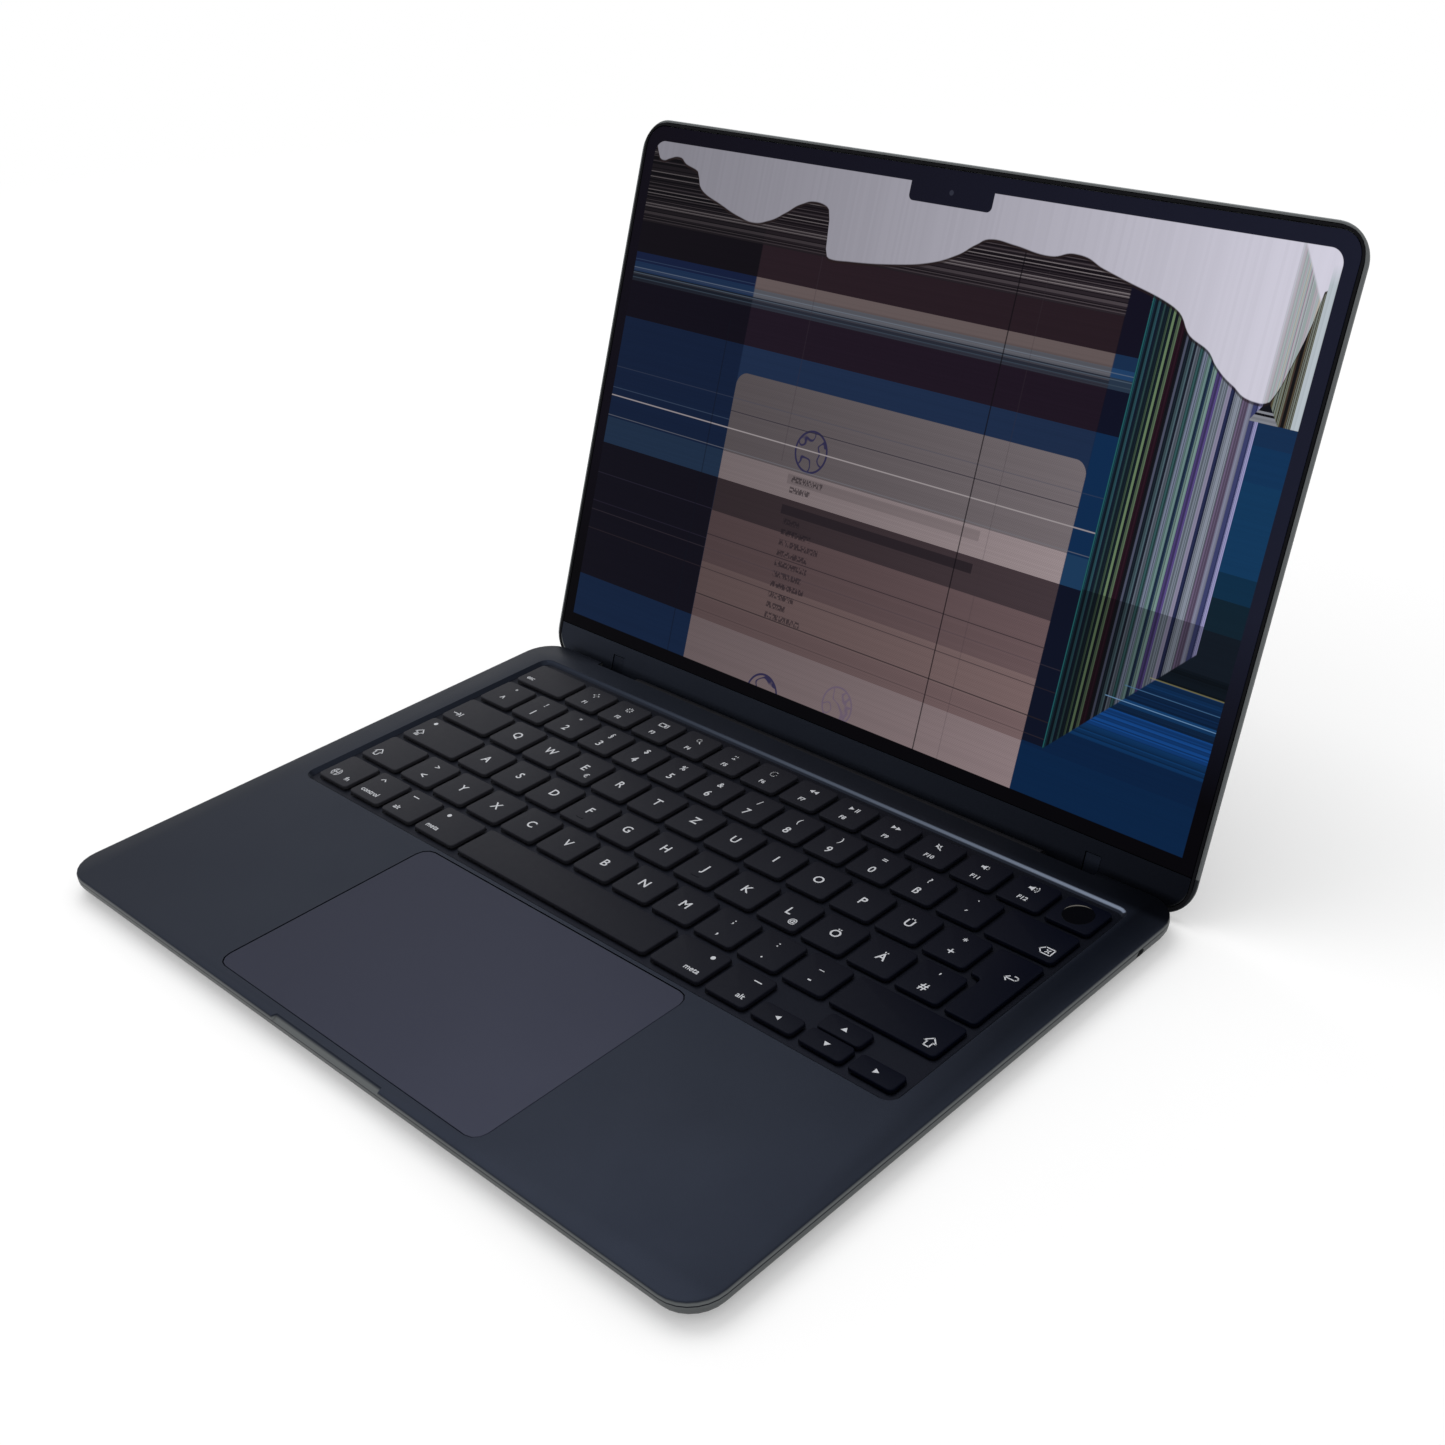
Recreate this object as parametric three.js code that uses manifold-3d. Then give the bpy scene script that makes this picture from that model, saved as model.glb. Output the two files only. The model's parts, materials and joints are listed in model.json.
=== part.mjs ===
// A slim 13 inch laptop computer, standing open on its rubber feet.
// Millimetres, +X to the right of the person typing, +Y to the rear, +Z up.
// The origin lies at the centre of the whole part's footprint, on the table.
import * as THREE from "three";
import { mergeVertices } from "three/addons/utils/BufferGeometryUtils.js";
import Module from "manifold-3d";

const wasm = await Module();
wasm.setup();

// Overall sizes
const WIDTH = 304.1;
const DEPTH = 215;
const CORNER_RADIUS = 12;
const OPEN_ANGLE = 111.1;
const CLOSED_GAP = 0.3;
const CLEARANCE = 0.3;

// Base shell
const BASE_THICKNESS = 7.3;
const UNDERSIDE_RADIUS = 5.3;
const DECK_EDGE = 0.7;
const SIDE_WALL = 1.5;
const DECK_SKIN = 1.2;
const COVER_THICKNESS = 0.8;
const COVER_LEDGE = 1.6;
const LEDGE_THICKNESS = 1;
const SCREW_FROM_SIDE = 15.6;
const SCREW_FROM_END = 15.1;
const SCREW_RECESS_RADIUS = 2;
const SCREW_RECESS_DEPTH = 0.35;

// Feet
const FOOT_RADIUS = 6;
const FOOT_HEIGHT = 1.1;
const FOOT_RECESS = 0.4;
const FOOT_FROM_SIDE = 24;
const FOOT_FROM_END = 20;

// Finger scoop in the front edge
const SCOOP_WIDTH = 54;
const SCOOP_REACH = 2.1;
const SCOOP_DROP = 1.5;
const SCOOP_END_SLOPE = 1;

// Keyboard: the width that is left between the side margins sets the pitch of the keys
const KEYBOARD_FROM_SIDE = 15.55;
const ROW_PITCH = 18.56;
const ROW_UNITS = 14.5;
const FUNCTION_KEYS = 12;
const ROWS_BEHIND_SPACE = 5;
const CAP_GAP = 2.5;
const CAP_DEPTH = 15.75;
const FUNCTION_CAP_DEPTH = 14.5;
const ARROW_GAP = 0.7;
const CAP_THICKNESS = 1.3;
const CAP_CORNER = 1.6;
const KEY_TRAVEL = 1;
const STEM_SIZE = 5;
const WIDE_KEY = 40;
const APERTURE_CLEARANCE = 0.4;
const SENSOR_RADIUS = 5.2;
const SENSOR_RECESS = 0.2;

// Keyboard well and the plate under it
const WELL_FROM_REAR = 11.5;
const WELL_MARGIN_SIDE = 3.6;
const WELL_MARGIN_FRONT = 4.1;
const WELL_MARGIN_REAR = 4.7;
const WELL_CORNER = 4.3;
const WELL_DEPTH = 1.6;
const WELL_SLOPE = 1.6;
const WELL_WALL = 1.2;
const WEB_THICKNESS = 0.5;
const PLATE_THICKNESS = 0.7;

// Trackpad: it fills the deck from near the front edge to just short of the well
const PAD_WIDTH = 127.6;
const PAD_FROM_FRONT = 5.1;
const PAD_FROM_WELL = 1.7;
const PAD_CORNER = 4.5;
const PAD_GLASS = 0.8;
const PAD_SUNK = 0.1;
const PAD_BEVEL = 0.15;
const PAD_TRAY_INSET = 1;
const PAD_TRAY_DEPTH = 2.4;
const PAD_FLANGE = 4;
const PAD_FLANGE_THICKNESS = 0.8;

// Battery, circuit board and speakers inside the base
const BATTERY_FROM_SIDE = 12;
const BATTERY_FROM_PAD = 6;
const BATTERY_EDGE = 0.8;
const BATTERY_CORNER = 2;
const INNER_GAP = 4;
const BOARD_WIDTH = 200;
const BOARD_DEPTH = 42;
const BOARD_THICKNESS = 0.6;
const BOARD_CORNER = 2;
const BOARD_BITE_WIDTH = 44;
const BOARD_BITE_DEPTH = 11;
const CHIP_HEIGHT = 0.5;
const SPREADER_WIDTH = 70;
const SPREADER_DEPTH = 31;
const SPREADER_CORNER = 3;
const SPREADER_THICKNESS = 0.3;
const SPEAKER_WIDTH = 25;
const SPEAKER_DEPTH = 54;
const SPEAKER_CORNER = 3;
const SPEAKER_CONE = 6;
const SPEAKER_CONE_DEPTH = 0.4;
// Each chip has its distance from the middle of the board and its side.
const CHIPS = [
  [-44, 13],
  [0, 22],
  [31, 13],
  [66, 13],
];

// Sockets in the sides
const PORT_DROP = 3.5;
const CHARGE_PORT_FROM_REAR = 19;
const CHARGE_PORT_WIDTH = 13.2;
const CHARGE_PORT_HEIGHT = 3.2;
const CHARGE_PIN_RADIUS = 0.45;
const CHARGE_PINS = 5;
const CHARGE_PIN_PITCH = 2;
const DATA_PORT_FROM_REAR = 36;
const DATA_PORT_PITCH = 15;
const DATA_PORT_WIDTH = 8.9;
const DATA_PORT_HEIGHT = 3.1;
const DATA_TONGUE = 0.7;
const TONGUE_SET_BACK = 0.8;
const SOCKET_SHELL = 0.25;
const SOCKET_LENGTH = 7;
const SOCKET_SET_BACK = 1.3;
const SOCKET_END = 1;
const SOCKET_BOARD_REACH = 1.5;
const SOCKET_BOARD_THICKNESS = 0.6;
const SOCKET_BOARD_DROP = 1;
const JACK_FROM_REAR = 24.5;
const JACK_HOLE_RADIUS = 1.9;
const JACK_BORE_RADIUS = 1.75;
const JACK_BARREL_RADIUS = 2.2;
const JACK_LENGTH = 7.5;

// Hinge and the notch it turns in
const AXIS_FROM_REAR = 1.7;
const AXIS_DEPTH = 3.6;
const SLOT_FROM_SIDE = 32.55;
const SLOT_DEPTH = 2.5;
const SLOT_REACH = 12.5;
const BARREL_RADIUS = 2.3;
const BARREL_FROM_ARM = 1.7;
const PIN_RADIUS = 1.2;
const PIN_LENGTH = 10;
const BARREL_LENGTH = 13;
const BARREL_FOOT_REACH = 9;
const BARREL_FOOT_THICKNESS = 1;
const ARM_WIDTH = 5.7;
const ARM_PLATE_REACH = 8.5;
const ARM_PLATE_THICKNESS = 0.9;
const ARM_NECK = 1.4;
const ANTENNA_RADIUS = 3.3;
const ANTENNA_FRONT_REACH = 2.9;

// Lid
const LID_THICKNESS = 3.7;
const LID_EDGE_RADIUS = 3;
const LID_FRONT_EDGE = 0.3;
const LID_FLOOR = 1;
const LID_RIM = 0.9;
const GASKET_WIDTH = 0.9;
const GASKET_PROUD = 0.15;
const GASKET_HEIGHT = 1.6;
const GASKET_END_FROM_SIDE = 20;
const GLASS_THICKNESS = 0.6;
const GLASS_CORNER = 8;
const GLASS_BEVEL = 0.1;
const DISPLAY_FROM_SIDE = 7.25;
const DISPLAY_FROM_TOP = 7.2;
const DISPLAY_FROM_TAIL = 19.5;
const DISPLAY_CORNER = 5;
const PANEL_THICKNESS = 1.5;
const GLASS_BELOW_DISPLAY = 4.9;
const NOTCH_WIDTH = 36;
const NOTCH_DEPTH = 7.2;
const NOTCH_CORNER = 2.4;
const CAMERA_WIDTH = 14;
const CAMERA_DEPTH = 4.6;
const CAMERA_CORNER = 1;
const CAMERA_SET_BACK = 0.4;
const CAMERA_LENS_RADIUS = 1.5;
const CAMERA_BARREL = 1;
const DRIVER_BOARD_WIDTH = 180;
const DRIVER_BOARD_DEPTH = 3;
const DRIVER_BOARD_CORNER = 1;
const DRIVER_BOARD_THICKNESS = 1;

// Roundness: facets on a quarter turn, and on a whole one
const CASE_STEPS = 7;
const WELL_STEPS = 5;
const EDGE_STEPS = 5;
const PAD_STEPS = 3;
const SMALL_STEPS = 2;
const ROUND_SIDES = 16;
const CHARGE_PIN_SIDES = 8;
const ANTENNA_STEPS = 12;
const LEAST_CORNER = 0.3;

// How far a cutting tool reaches past the face that it opens
const PAST = 1;

// Heights that the sizes above lead to, measured from the top of the deck
const underside = -BASE_THICKNESS;
const coverTop = underside + COVER_THICKNESS;
const ledgeBottom = coverTop + CLEARANCE;
const ledgeTop = ledgeBottom + LEDGE_THICKNESS;
const floorOfBase = coverTop + CLEARANCE;
const webTop = -WELL_DEPTH;
const webBottom = webTop - WEB_THICKNESS;
const plateTop = webBottom - CLEARANCE;
const plateBottom = plateTop - PLATE_THICKNESS;
const belowKeys = plateBottom - KEY_TRAVEL - CLEARANCE;
const axisY = DEPTH / 2 - AXIS_FROM_REAR;
const axisZ = -AXIS_DEPTH;
const quarter = Math.PI / 2;

const material = (color, roughness, metalness) =>
  new THREE.MeshStandardMaterial({ color, roughness, metalness });
const finish = {
  shell: material(0x32383f, 0.42, 0.75),
  cap: material(0x15171c, 0.55, 0),
  padGlass: material(0x3b404c, 0.35, 0.1),
  screenGlass: material(0x0c0d12, 0.12, 0),
  panel: material(0x8c8fa8, 0.4, 0),
  rubber: material(0x101113, 0.85, 0),
  plastic: material(0x14161a, 0.6, 0),
  steel: material(0x8d9094, 0.35, 0.9),
  board: material(0x14301f, 0.6, 0.1),
  battery: material(0x1d1e21, 0.7, 0),
  copper: material(0x9a6a4a, 0.4, 0.9),
};

// A closed geometry becomes a solid that can be joined and cut.
function solid(geometry) {
  const bare = geometry.clone();
  bare.deleteAttribute("normal");
  bare.deleteAttribute("uv");
  const merged = mergeVertices(bare, 1e-4);
  return new wasm.Manifold(
    new wasm.Mesh({
      numProp: 3,
      vertProperties: new Float32Array(merged.attributes.position.array),
      triVerts: new Uint32Array(merged.index.array),
    }),
  );
}

// A solid becomes a geometry with flat facets.
function geometryOf(body) {
  const mesh = body.getMesh();
  const indexed = new THREE.BufferGeometry();
  const places = new THREE.BufferAttribute(new Float32Array(mesh.vertProperties), mesh.numProp);
  indexed.setAttribute("position", places);
  indexed.setIndex(new THREE.BufferAttribute(new Uint32Array(mesh.triVerts), 1));
  const facets = indexed.toNonIndexed();
  facets.computeVertexNormals();
  return facets;
}

const join = (...bodies) => bodies.reduce((whole, body) => whole.add(body));
const cut = (body, ...tools) => tools.reduce((rest, tool) => rest.subtract(tool), body);

function piece(name, body, look, group) {
  const mesh = new THREE.Mesh(geometryOf(body), look);
  mesh.name = name;
  group.add(mesh);
  return mesh;
}

// The corners of a rectangle, anticlockwise, from its sides.
const rectangle = (left, right, front, rear) => [
  new THREE.Vector2(left, front),
  new THREE.Vector2(right, front),
  new THREE.Vector2(right, rear),
  new THREE.Vector2(left, rear),
];

// An outline of right-angled corners with every side moved inwards.
function inset(corners, distance) {
  const count = corners.length;
  return corners.map((corner, i) => {
    const before = corner.clone().sub(corners[(i + count - 1) % count]).normalize();
    const after = corners[(i + 1) % count].clone().sub(corner).normalize();
    const shift = new THREE.Vector2(-before.y - after.y, before.x + after.x);
    return corner.clone().add(shift.multiplyScalar(distance));
  });
}

// The same outline with each corner turned into a quarter circle.
function rounded(corners, radius, steps) {
  const count = corners.length;
  return corners.flatMap((corner, i) => {
    const back = corners[(i + count - 1) % count].clone().sub(corner).normalize();
    const ahead = corners[(i + 1) % count].clone().sub(corner).normalize();
    return Array.from({ length: steps + 1 }, (_, k) => {
      const turn = (quarter * k) / steps;
      return corner
        .clone()
        .addScaledVector(back, radius * (1 - Math.sin(turn)))
        .addScaledVector(ahead, radius * (1 - Math.cos(turn)));
    });
  });
}

// A closed skin through outlines stacked from the bottom up.
function stack(layers) {
  const count = layers[0].outline.length;
  const vertices = layers.flatMap(({ outline, z }) => outline.flatMap((p) => [p.x, p.y, z]));
  const faces = THREE.ShapeUtils.triangulateShape(layers[0].outline, []);
  const last = (layers.length - 1) * count;
  const index = faces.flatMap(([a, b, c]) => [c, b, a, last + a, last + b, last + c]);
  for (let layer = 0; layer + 1 < layers.length; layer += 1) {
    for (let i = 0; i < count; i += 1) {
      const a = layer * count + i;
      const b = layer * count + ((i + 1) % count);
      index.push(a, b, b + count, a, b + count, a + count);
    }
  }
  const geometry = new THREE.BufferGeometry();
  geometry.setAttribute("position", new THREE.Float32BufferAttribute(vertices, 3));
  geometry.setIndex(index);
  return solid(geometry);
}

// A plate whose edge follows a profile of [inset, height] pairs.
function slab(corners, radius, steps, profile) {
  return stack(
    profile.map(([distance, z]) => ({
      outline: rounded(inset(corners, distance), Math.max(radius - distance, LEAST_CORNER), steps),
      z,
    })),
  );
}

const plate = (corners, radius, steps, low, high) => slab(corners, radius, steps, [[0, low], [0, high]]);

function box(left, right, front, rear, low, high) {
  const geometry = new THREE.BoxGeometry(right - left, rear - front, high - low);
  geometry.translate((left + right) / 2, (front + rear) / 2, (low + high) / 2);
  return solid(geometry);
}

// A disc with an upright axis, centred on the height z. It tapers if it has another radius below.
function disc(x, y, z, radius, height, radiusBelow = radius) {
  const geometry = new THREE.CylinderGeometry(radius, radiusBelow, height, ROUND_SIDES);
  geometry.rotateX(quarter);
  geometry.translate(x, y, z);
  return solid(geometry);
}

// A quarter-round edge for a profile, at the upper or the lower side of a plate.
function edgeArc(radius, lowZ, upwards, steps = EDGE_STEPS) {
  return Array.from({ length: steps + 1 }, (_, k) => {
    const turn = (quarter * k) / steps;
    return upwards
      ? [radius * (1 - Math.cos(turn)), lowZ + radius * Math.sin(turn)]
      : [radius * (1 - Math.sin(turn)), lowZ + radius * (1 - Math.cos(turn))];
  });
}

// A bar along X with any section given as points of (y, z).
function barAlongX(section, left, right) {
  const shape = new THREE.Shape(section);
  const geometry = new THREE.ExtrudeGeometry(shape, { depth: right - left, bevelEnabled: false });
  const [x, y, z] = [0, 1, 2].map((axis) => new THREE.Vector3().setComponent(axis, 1));
  geometry.applyMatrix4(new THREE.Matrix4().makeBasis(y, z, x));
  geometry.translate(left, 0, 0);
  return solid(geometry);
}

function circle(y, z, radius, sides = ROUND_SIDES) {
  return Array.from({ length: sides }, (_, k) => {
    const turn = (2 * Math.PI * k) / sides;
    return new THREE.Vector2(y + radius * Math.cos(turn), z + radius * Math.sin(turn));
  });
}

// A slot shape with round ends, long in Y and tall in Z.
function stadium(y, z, width, height) {
  const shape = new THREE.Shape();
  const reach = (width - height) / 2;
  shape.absarc(y + reach, z, height / 2, -quarter, quarter);
  shape.absarc(y - reach, z, height / 2, quarter, 3 * quarter);
  return shape.getPoints(ROUND_SIDES / 4).slice(0, -1);
}

// Places that the deck, the web and the plate share
const keyboardLeft = KEYBOARD_FROM_SIDE - WIDTH / 2;
const keyPitch = (-2 * keyboardLeft + CAP_GAP) / ROW_UNITS;
const wellRear = DEPTH / 2 - WELL_FROM_REAR;
const functionFront = wellRear - WELL_MARGIN_REAR - FUNCTION_CAP_DEPTH;
const keyboardFront = functionFront - ROWS_BEHIND_SPACE * ROW_PITCH;
const wellFront = keyboardFront - WELL_MARGIN_FRONT;
const wellLeft = keyboardLeft - WELL_MARGIN_SIDE;
const wellCorners = rectangle(wellLeft, -wellLeft, wellFront, wellRear);
const padFront = PAD_FROM_FRONT - DEPTH / 2;
const padCorners = rectangle(-PAD_WIDTH / 2, PAD_WIDTH / 2, padFront, wellFront - PAD_FROM_WELL);
const caseCorners = rectangle(-WIDTH / 2, WIDTH / 2, -DEPTH / 2, DEPTH / 2);
const innerSide = WIDTH / 2 - SIDE_WALL;
const slotSide = WIDTH / 2 - SLOT_FROM_SIDE;
const portZ = -PORT_DROP;
const chargeY = DEPTH / 2 - CHARGE_PORT_FROM_REAR;
const dataY = [0, 1].map((k) => DEPTH / 2 - DATA_PORT_FROM_REAR - k * DATA_PORT_PITCH);
const jackY = DEPTH / 2 - JACK_FROM_REAR;

// Keys: each has its row, its place and width in key units, and a name if it moves
// on its own. The other keys stand for one row of like character keys.

const FUNCTION_ROW = [
  ["key_esc", 1.5],
  ...Array.from({ length: FUNCTION_KEYS }, (_, k) => ["key_f" + (k + 1), 1]),
  ["key_power", 1],
];
const characters = (count) => Array.from({ length: count }, () => [null, 1]);
const ROWS = [
  FUNCTION_ROW,
  [...characters(13), ["key_backspace", 1.5]],
  [["key_tab", 1.5], ...characters(12), ["key_return", 1]],
  [["key_caps_lock", 1.75], ...characters(12)],
  [["key_shift_left", 1.25], ...characters(11), ["key_shift_right", 2.25]],
  [
    ["key_fn", 1],
    ["key_control", 1],
    ["key_alt_left", 1],
    ["key_meta_left", 1.25],
    ["key_space", 5],
    ["key_meta_right", 1.25],
    ["key_alt_right", 1],
    ["key_arrow_left", 1],
    ["key_arrow_up", 1],
    ["key_arrow_right", 1],
  ],
];
const RETURN_STEP = 0.25;
const arrowDepth = (CAP_DEPTH - ARROW_GAP) / 2;

function layOutKeys() {
  const keys = [];
  ROWS.forEach((row, r) => {
    const front = keyboardFront + (ROWS_BEHIND_SPACE - r) * ROW_PITCH;
    let unit = 0;
    row.forEach(([name, units]) => {
      const left = keyboardLeft + unit * keyPitch;
      const right = left + units * keyPitch - CAP_GAP;
      const rear = front + (r === 0 ? FUNCTION_CAP_DEPTH : CAP_DEPTH);
      unit += units;
      const half = name !== null && name.startsWith("key_arrow");
      const isReturn = name === "key_return";
      const step = left + RETURN_STEP * keyPitch;
      const corners = isReturn
        ? [
            new THREE.Vector2(left, front),
            new THREE.Vector2(step, front),
            new THREE.Vector2(step, front - ROW_PITCH),
            new THREE.Vector2(right, front - ROW_PITCH),
            new THREE.Vector2(right, rear),
            new THREE.Vector2(left, rear),
          ]
        : rectangle(left, right, front, half ? front + arrowDepth : rear);
      if (name === "key_arrow_up") {
        keys.push({ name: "key_arrow_down", corners });
        keys.push({ name, corners: rectangle(left, right, rear - arrowDepth, rear) });
      } else {
        keys.push({ name, corners });
      }
    });
  });
  return keys;
}

const keys = layOutKeys();

function middle(corners) {
  const frame = new THREE.Box2().setFromPoints(corners);
  return { centre: frame.getCenter(new THREE.Vector2()), width: frame.max.x - frame.min.x };
}

// Stems stand under the middle of a cap, and a wide cap has one near each end as well.
function stemPlaces(corners) {
  const { centre, width } = middle(corners);
  const reach = width / 2 - 2 * STEM_SIZE;
  return (width > WIDE_KEY ? [-1, 0, 1] : [0]).map((k) => [centre.x + k * reach, centre.y]);
}

function stems(corners, grow, low, high) {
  const half = STEM_SIZE / 2 + grow;
  return stemPlaces(corners).map(([x, y]) => box(x - half, x + half, y - half, y + half, low, high));
}

const cap = (corners) => plate(corners, CAP_CORNER, SMALL_STEPS, -CAP_THICKNESS, 0);

// A plate that follows the outline of the case at a distance from it.
const casePlate = (distance, low, high) =>
  plate(inset(caseCorners, distance), CORNER_RADIUS - distance, CASE_STEPS, low, high);

// The base shell: one milled piece that holds the deck, the sides and the keyboard web.
function upperCase() {
  const outside = slab(caseCorners, CORNER_RADIUS, CASE_STEPS, [
    ...edgeArc(UNDERSIDE_RADIUS, underside, false),
    ...edgeArc(DECK_EDGE, -DECK_EDGE, true, SMALL_STEPS),
  ]);
  const coverInset = UNDERSIDE_RADIUS + CLEARANCE;
  const opening = casePlate(coverInset, underside - PAST, ledgeBottom);
  const ledge = casePlate(coverInset + COVER_LEDGE, underside - PAST, ledgeTop);
  const drop = underside + UNDERSIDE_RADIUS - ledgeTop;
  const lowWall = UNDERSIDE_RADIUS - Math.sqrt(UNDERSIDE_RADIUS ** 2 - drop ** 2);
  const room = slab(caseCorners, CORNER_RADIUS, CASE_STEPS, [
    [SIDE_WALL + lowWall, ledgeTop],
    [SIDE_WALL, underside + UNDERSIDE_RADIUS],
    [SIDE_WALL, -DECK_SKIN],
  ]);
  const wellWall = inset(wellCorners, -WELL_WALL);
  const wellBlock = plate(wellWall, WELL_CORNER + WELL_WALL, SMALL_STEPS, webBottom, 0);
  const well = slab(wellCorners, WELL_CORNER, WELL_STEPS, [
    [WELL_SLOPE, webTop],
    [0, 0],
    [-PAST, PAST],
  ]);
  const apertures = keys.map(({ corners }) =>
    plate(inset(corners, -APERTURE_CLEARANCE), CAP_CORNER, 1, webBottom - PAST, webTop + PAST),
  );
  const padRoom = inset(padCorners, -CLEARANCE);
  const padOpening = plate(padRoom, PAD_CORNER + CLEARANCE, PAD_STEPS, -DECK_SKIN - PAST, PAST);
  const slotRear = DEPTH / 2 + PAST;
  const slot = box(-slotSide, slotSide, DEPTH / 2 - SLOT_DEPTH, slotRear, ledgeBottom, PAST);
  const jackHalf = JACK_BARREL_RADIUS + CLEARANCE;
  const jackRoom = box(
    socketFace - JACK_LENGTH - CLEARANCE,
    socketFace + CLEARANCE,
    jackY - jackHalf,
    jackY + jackHalf,
    ledgeBottom,
    -DECK_SKIN,
  );
  const hingeRoom = box(-slotSide, slotSide, DEPTH / 2 - SLOT_REACH, slotRear, ledgeBottom, -DECK_SKIN);
  return cut(
    outside,
    opening,
    ledge,
    cut(room, wellBlock),
    well,
    join(...apertures),
    padOpening,
    slot,
    cut(hingeRoom, wellBlock),
    cut(jackRoom, wellBlock),
    scoop(),
    ...portHoles(),
  );
}

// The scoop is a shallow ramp that runs down and out through the front edge.
function scoop() {
  const half = SCOOP_WIDTH / 2;
  const lean = Math.atan2(SCOOP_DROP, SCOOP_REACH);
  const rise = 2 * SCOOP_DROP;
  const spread = (SCOOP_END_SLOPE * rise) / SCOOP_DROP;
  const shape = new THREE.Shape([
    new THREE.Vector2(-half + SCOOP_END_SLOPE, 0),
    new THREE.Vector2(half - SCOOP_END_SLOPE, 0),
    new THREE.Vector2(half - SCOOP_END_SLOPE + spread, rise),
    new THREE.Vector2(-half + SCOOP_END_SLOPE - spread, rise),
  ]);
  const geometry = new THREE.ExtrudeGeometry(shape, { depth: 3 * SCOOP_REACH, bevelEnabled: false });
  geometry.translate(0, 0, -2 * SCOOP_REACH);
  geometry.rotateX(quarter + lean);
  geometry.translate(0, -DEPTH / 2 + SCOOP_REACH / 2, -SCOOP_DROP / 2);
  return solid(geometry);
}

function portHoles() {
  const outer = WIDTH / 2 + PAST;
  const inner = innerSide - PAST;
  const left = [
    stadium(chargeY, portZ, CHARGE_PORT_WIDTH, CHARGE_PORT_HEIGHT),
    ...dataY.map((y) => stadium(y, portZ, DATA_PORT_WIDTH, DATA_PORT_HEIGHT)),
  ];
  return [
    ...left.map((outline) => barAlongX(outline, -outer, -inner)),
    barAlongX(circle(jackY, portZ, JACK_HOLE_RADIUS), inner, outer),
  ];
}

const footPlaces = [-1, 1].flatMap((sideX) =>
  [-1, 1].map((sideY) => ({
    name: "foot_" + (sideY < 0 ? "front" : "rear") + "_" + (sideX < 0 ? "left" : "right"),
    x: sideX * (WIDTH / 2 - FOOT_FROM_SIDE),
    y: sideY * (DEPTH / 2 - FOOT_FROM_END),
  })),
);

// The cover has a shallow recess for each foot and, nearer its corners, for each screw.
function bottomCover() {
  const sheet = casePlate(UNDERSIDE_RADIUS + 2 * CLEARANCE, underside, coverTop);
  const footRoom = FOOT_RADIUS + CLEARANCE;
  const feet = footPlaces.map(({ x, y }) => disc(x, y, underside, footRoom, 2 * FOOT_RECESS));
  const screws = [-1, 1].flatMap((sideX) =>
    [-1, 1].map((sideY) => {
      const x = sideX * (WIDTH / 2 - SCREW_FROM_SIDE);
      const y = sideY * (DEPTH / 2 - SCREW_FROM_END);
      return disc(x, y, underside, SCREW_RECESS_RADIUS, 2 * SCREW_RECESS_DEPTH);
    }),
  );
  return cut(sheet, ...feet, ...screws);
}

function foot({ x, y }) {
  const top = underside + FOOT_RECESS - CLEARANCE;
  const low = underside - FOOT_HEIGHT;
  const profile = [
    [0, low],
    [FOOT_RADIUS - FOOT_HEIGHT, low],
    [FOOT_RADIUS, underside],
    [FOOT_RADIUS, top],
    [0, top],
  ];
  const geometry = new THREE.LatheGeometry(profile.map(([r, z]) => new THREE.Vector2(r, z)), ROUND_SIDES);
  geometry.rotateX(quarter);
  geometry.translate(x, y, 0);
  return solid(geometry);
}

// The plate under the web carries the character keys and guides the stems of the others.
function keyboardPlate() {
  const outline = inset(wellCorners, WELL_SLOPE);
  const sheet = plate(outline, WELL_CORNER - WELL_SLOPE, SMALL_STEPS, plateBottom, plateTop);
  const fixed = keys.filter(({ name }) => name === null);
  const guides = keys
    .filter(({ name }) => name !== null)
    .flatMap(({ corners }) => stems(corners, CLEARANCE, plateBottom - PAST, plateTop + PAST));
  const postLow = plateTop - PLATE_THICKNESS / 2;
  const posts = fixed.flatMap(({ corners }) => stems(corners, 0, postLow, -CAP_THICKNESS / 2));
  return cut(join(sheet, ...posts, ...fixed.map(({ corners }) => cap(corners))), ...guides);
}

function movingKey({ name, corners }) {
  const body = join(cap(corners), ...stems(corners, 0, plateBottom, -CAP_THICKNESS / 2));
  if (name !== "key_power") return body;
  const { centre } = middle(corners);
  return cut(body, disc(centre.x, centre.y, 0, SENSOR_RADIUS, 2 * SENSOR_RECESS));
}

function trackpadGlass() {
  const top = -PAD_SUNK;
  return slab(padCorners, PAD_CORNER, PAD_STEPS, [
    [0, top - PAD_GLASS],
    [0, top - PAD_BEVEL],
    [PAD_BEVEL, top],
  ]);
}

function trackpadTray() {
  const top = -PAD_SUNK - PAD_GLASS - CLEARANCE;
  const outline = inset(padCorners, PAD_TRAY_INSET);
  const tray = plate(outline, PAD_CORNER - PAD_TRAY_INSET, SMALL_STEPS, top - PAD_TRAY_DEPTH, top);
  const flangeTop = -DECK_SKIN - CLEARANCE;
  const side = PAD_WIDTH / 2 + PAD_FLANGE;
  const inner = inset(outline, PAD_TRAY_INSET);
  const flange = box(-side, side, inner[0].y, inner[2].y, flangeTop - PAD_FLANGE_THICKNESS, flangeTop);
  return join(tray, flange);
}

const boardRear = DEPTH / 2 - SLOT_REACH - CLEARANCE;
const boardFront = boardRear - BOARD_DEPTH;
const speakerRight = innerSide - UNDERSIDE_RADIUS - COVER_LEDGE;
const speakerLeft = speakerRight - SPEAKER_WIDTH;

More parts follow.
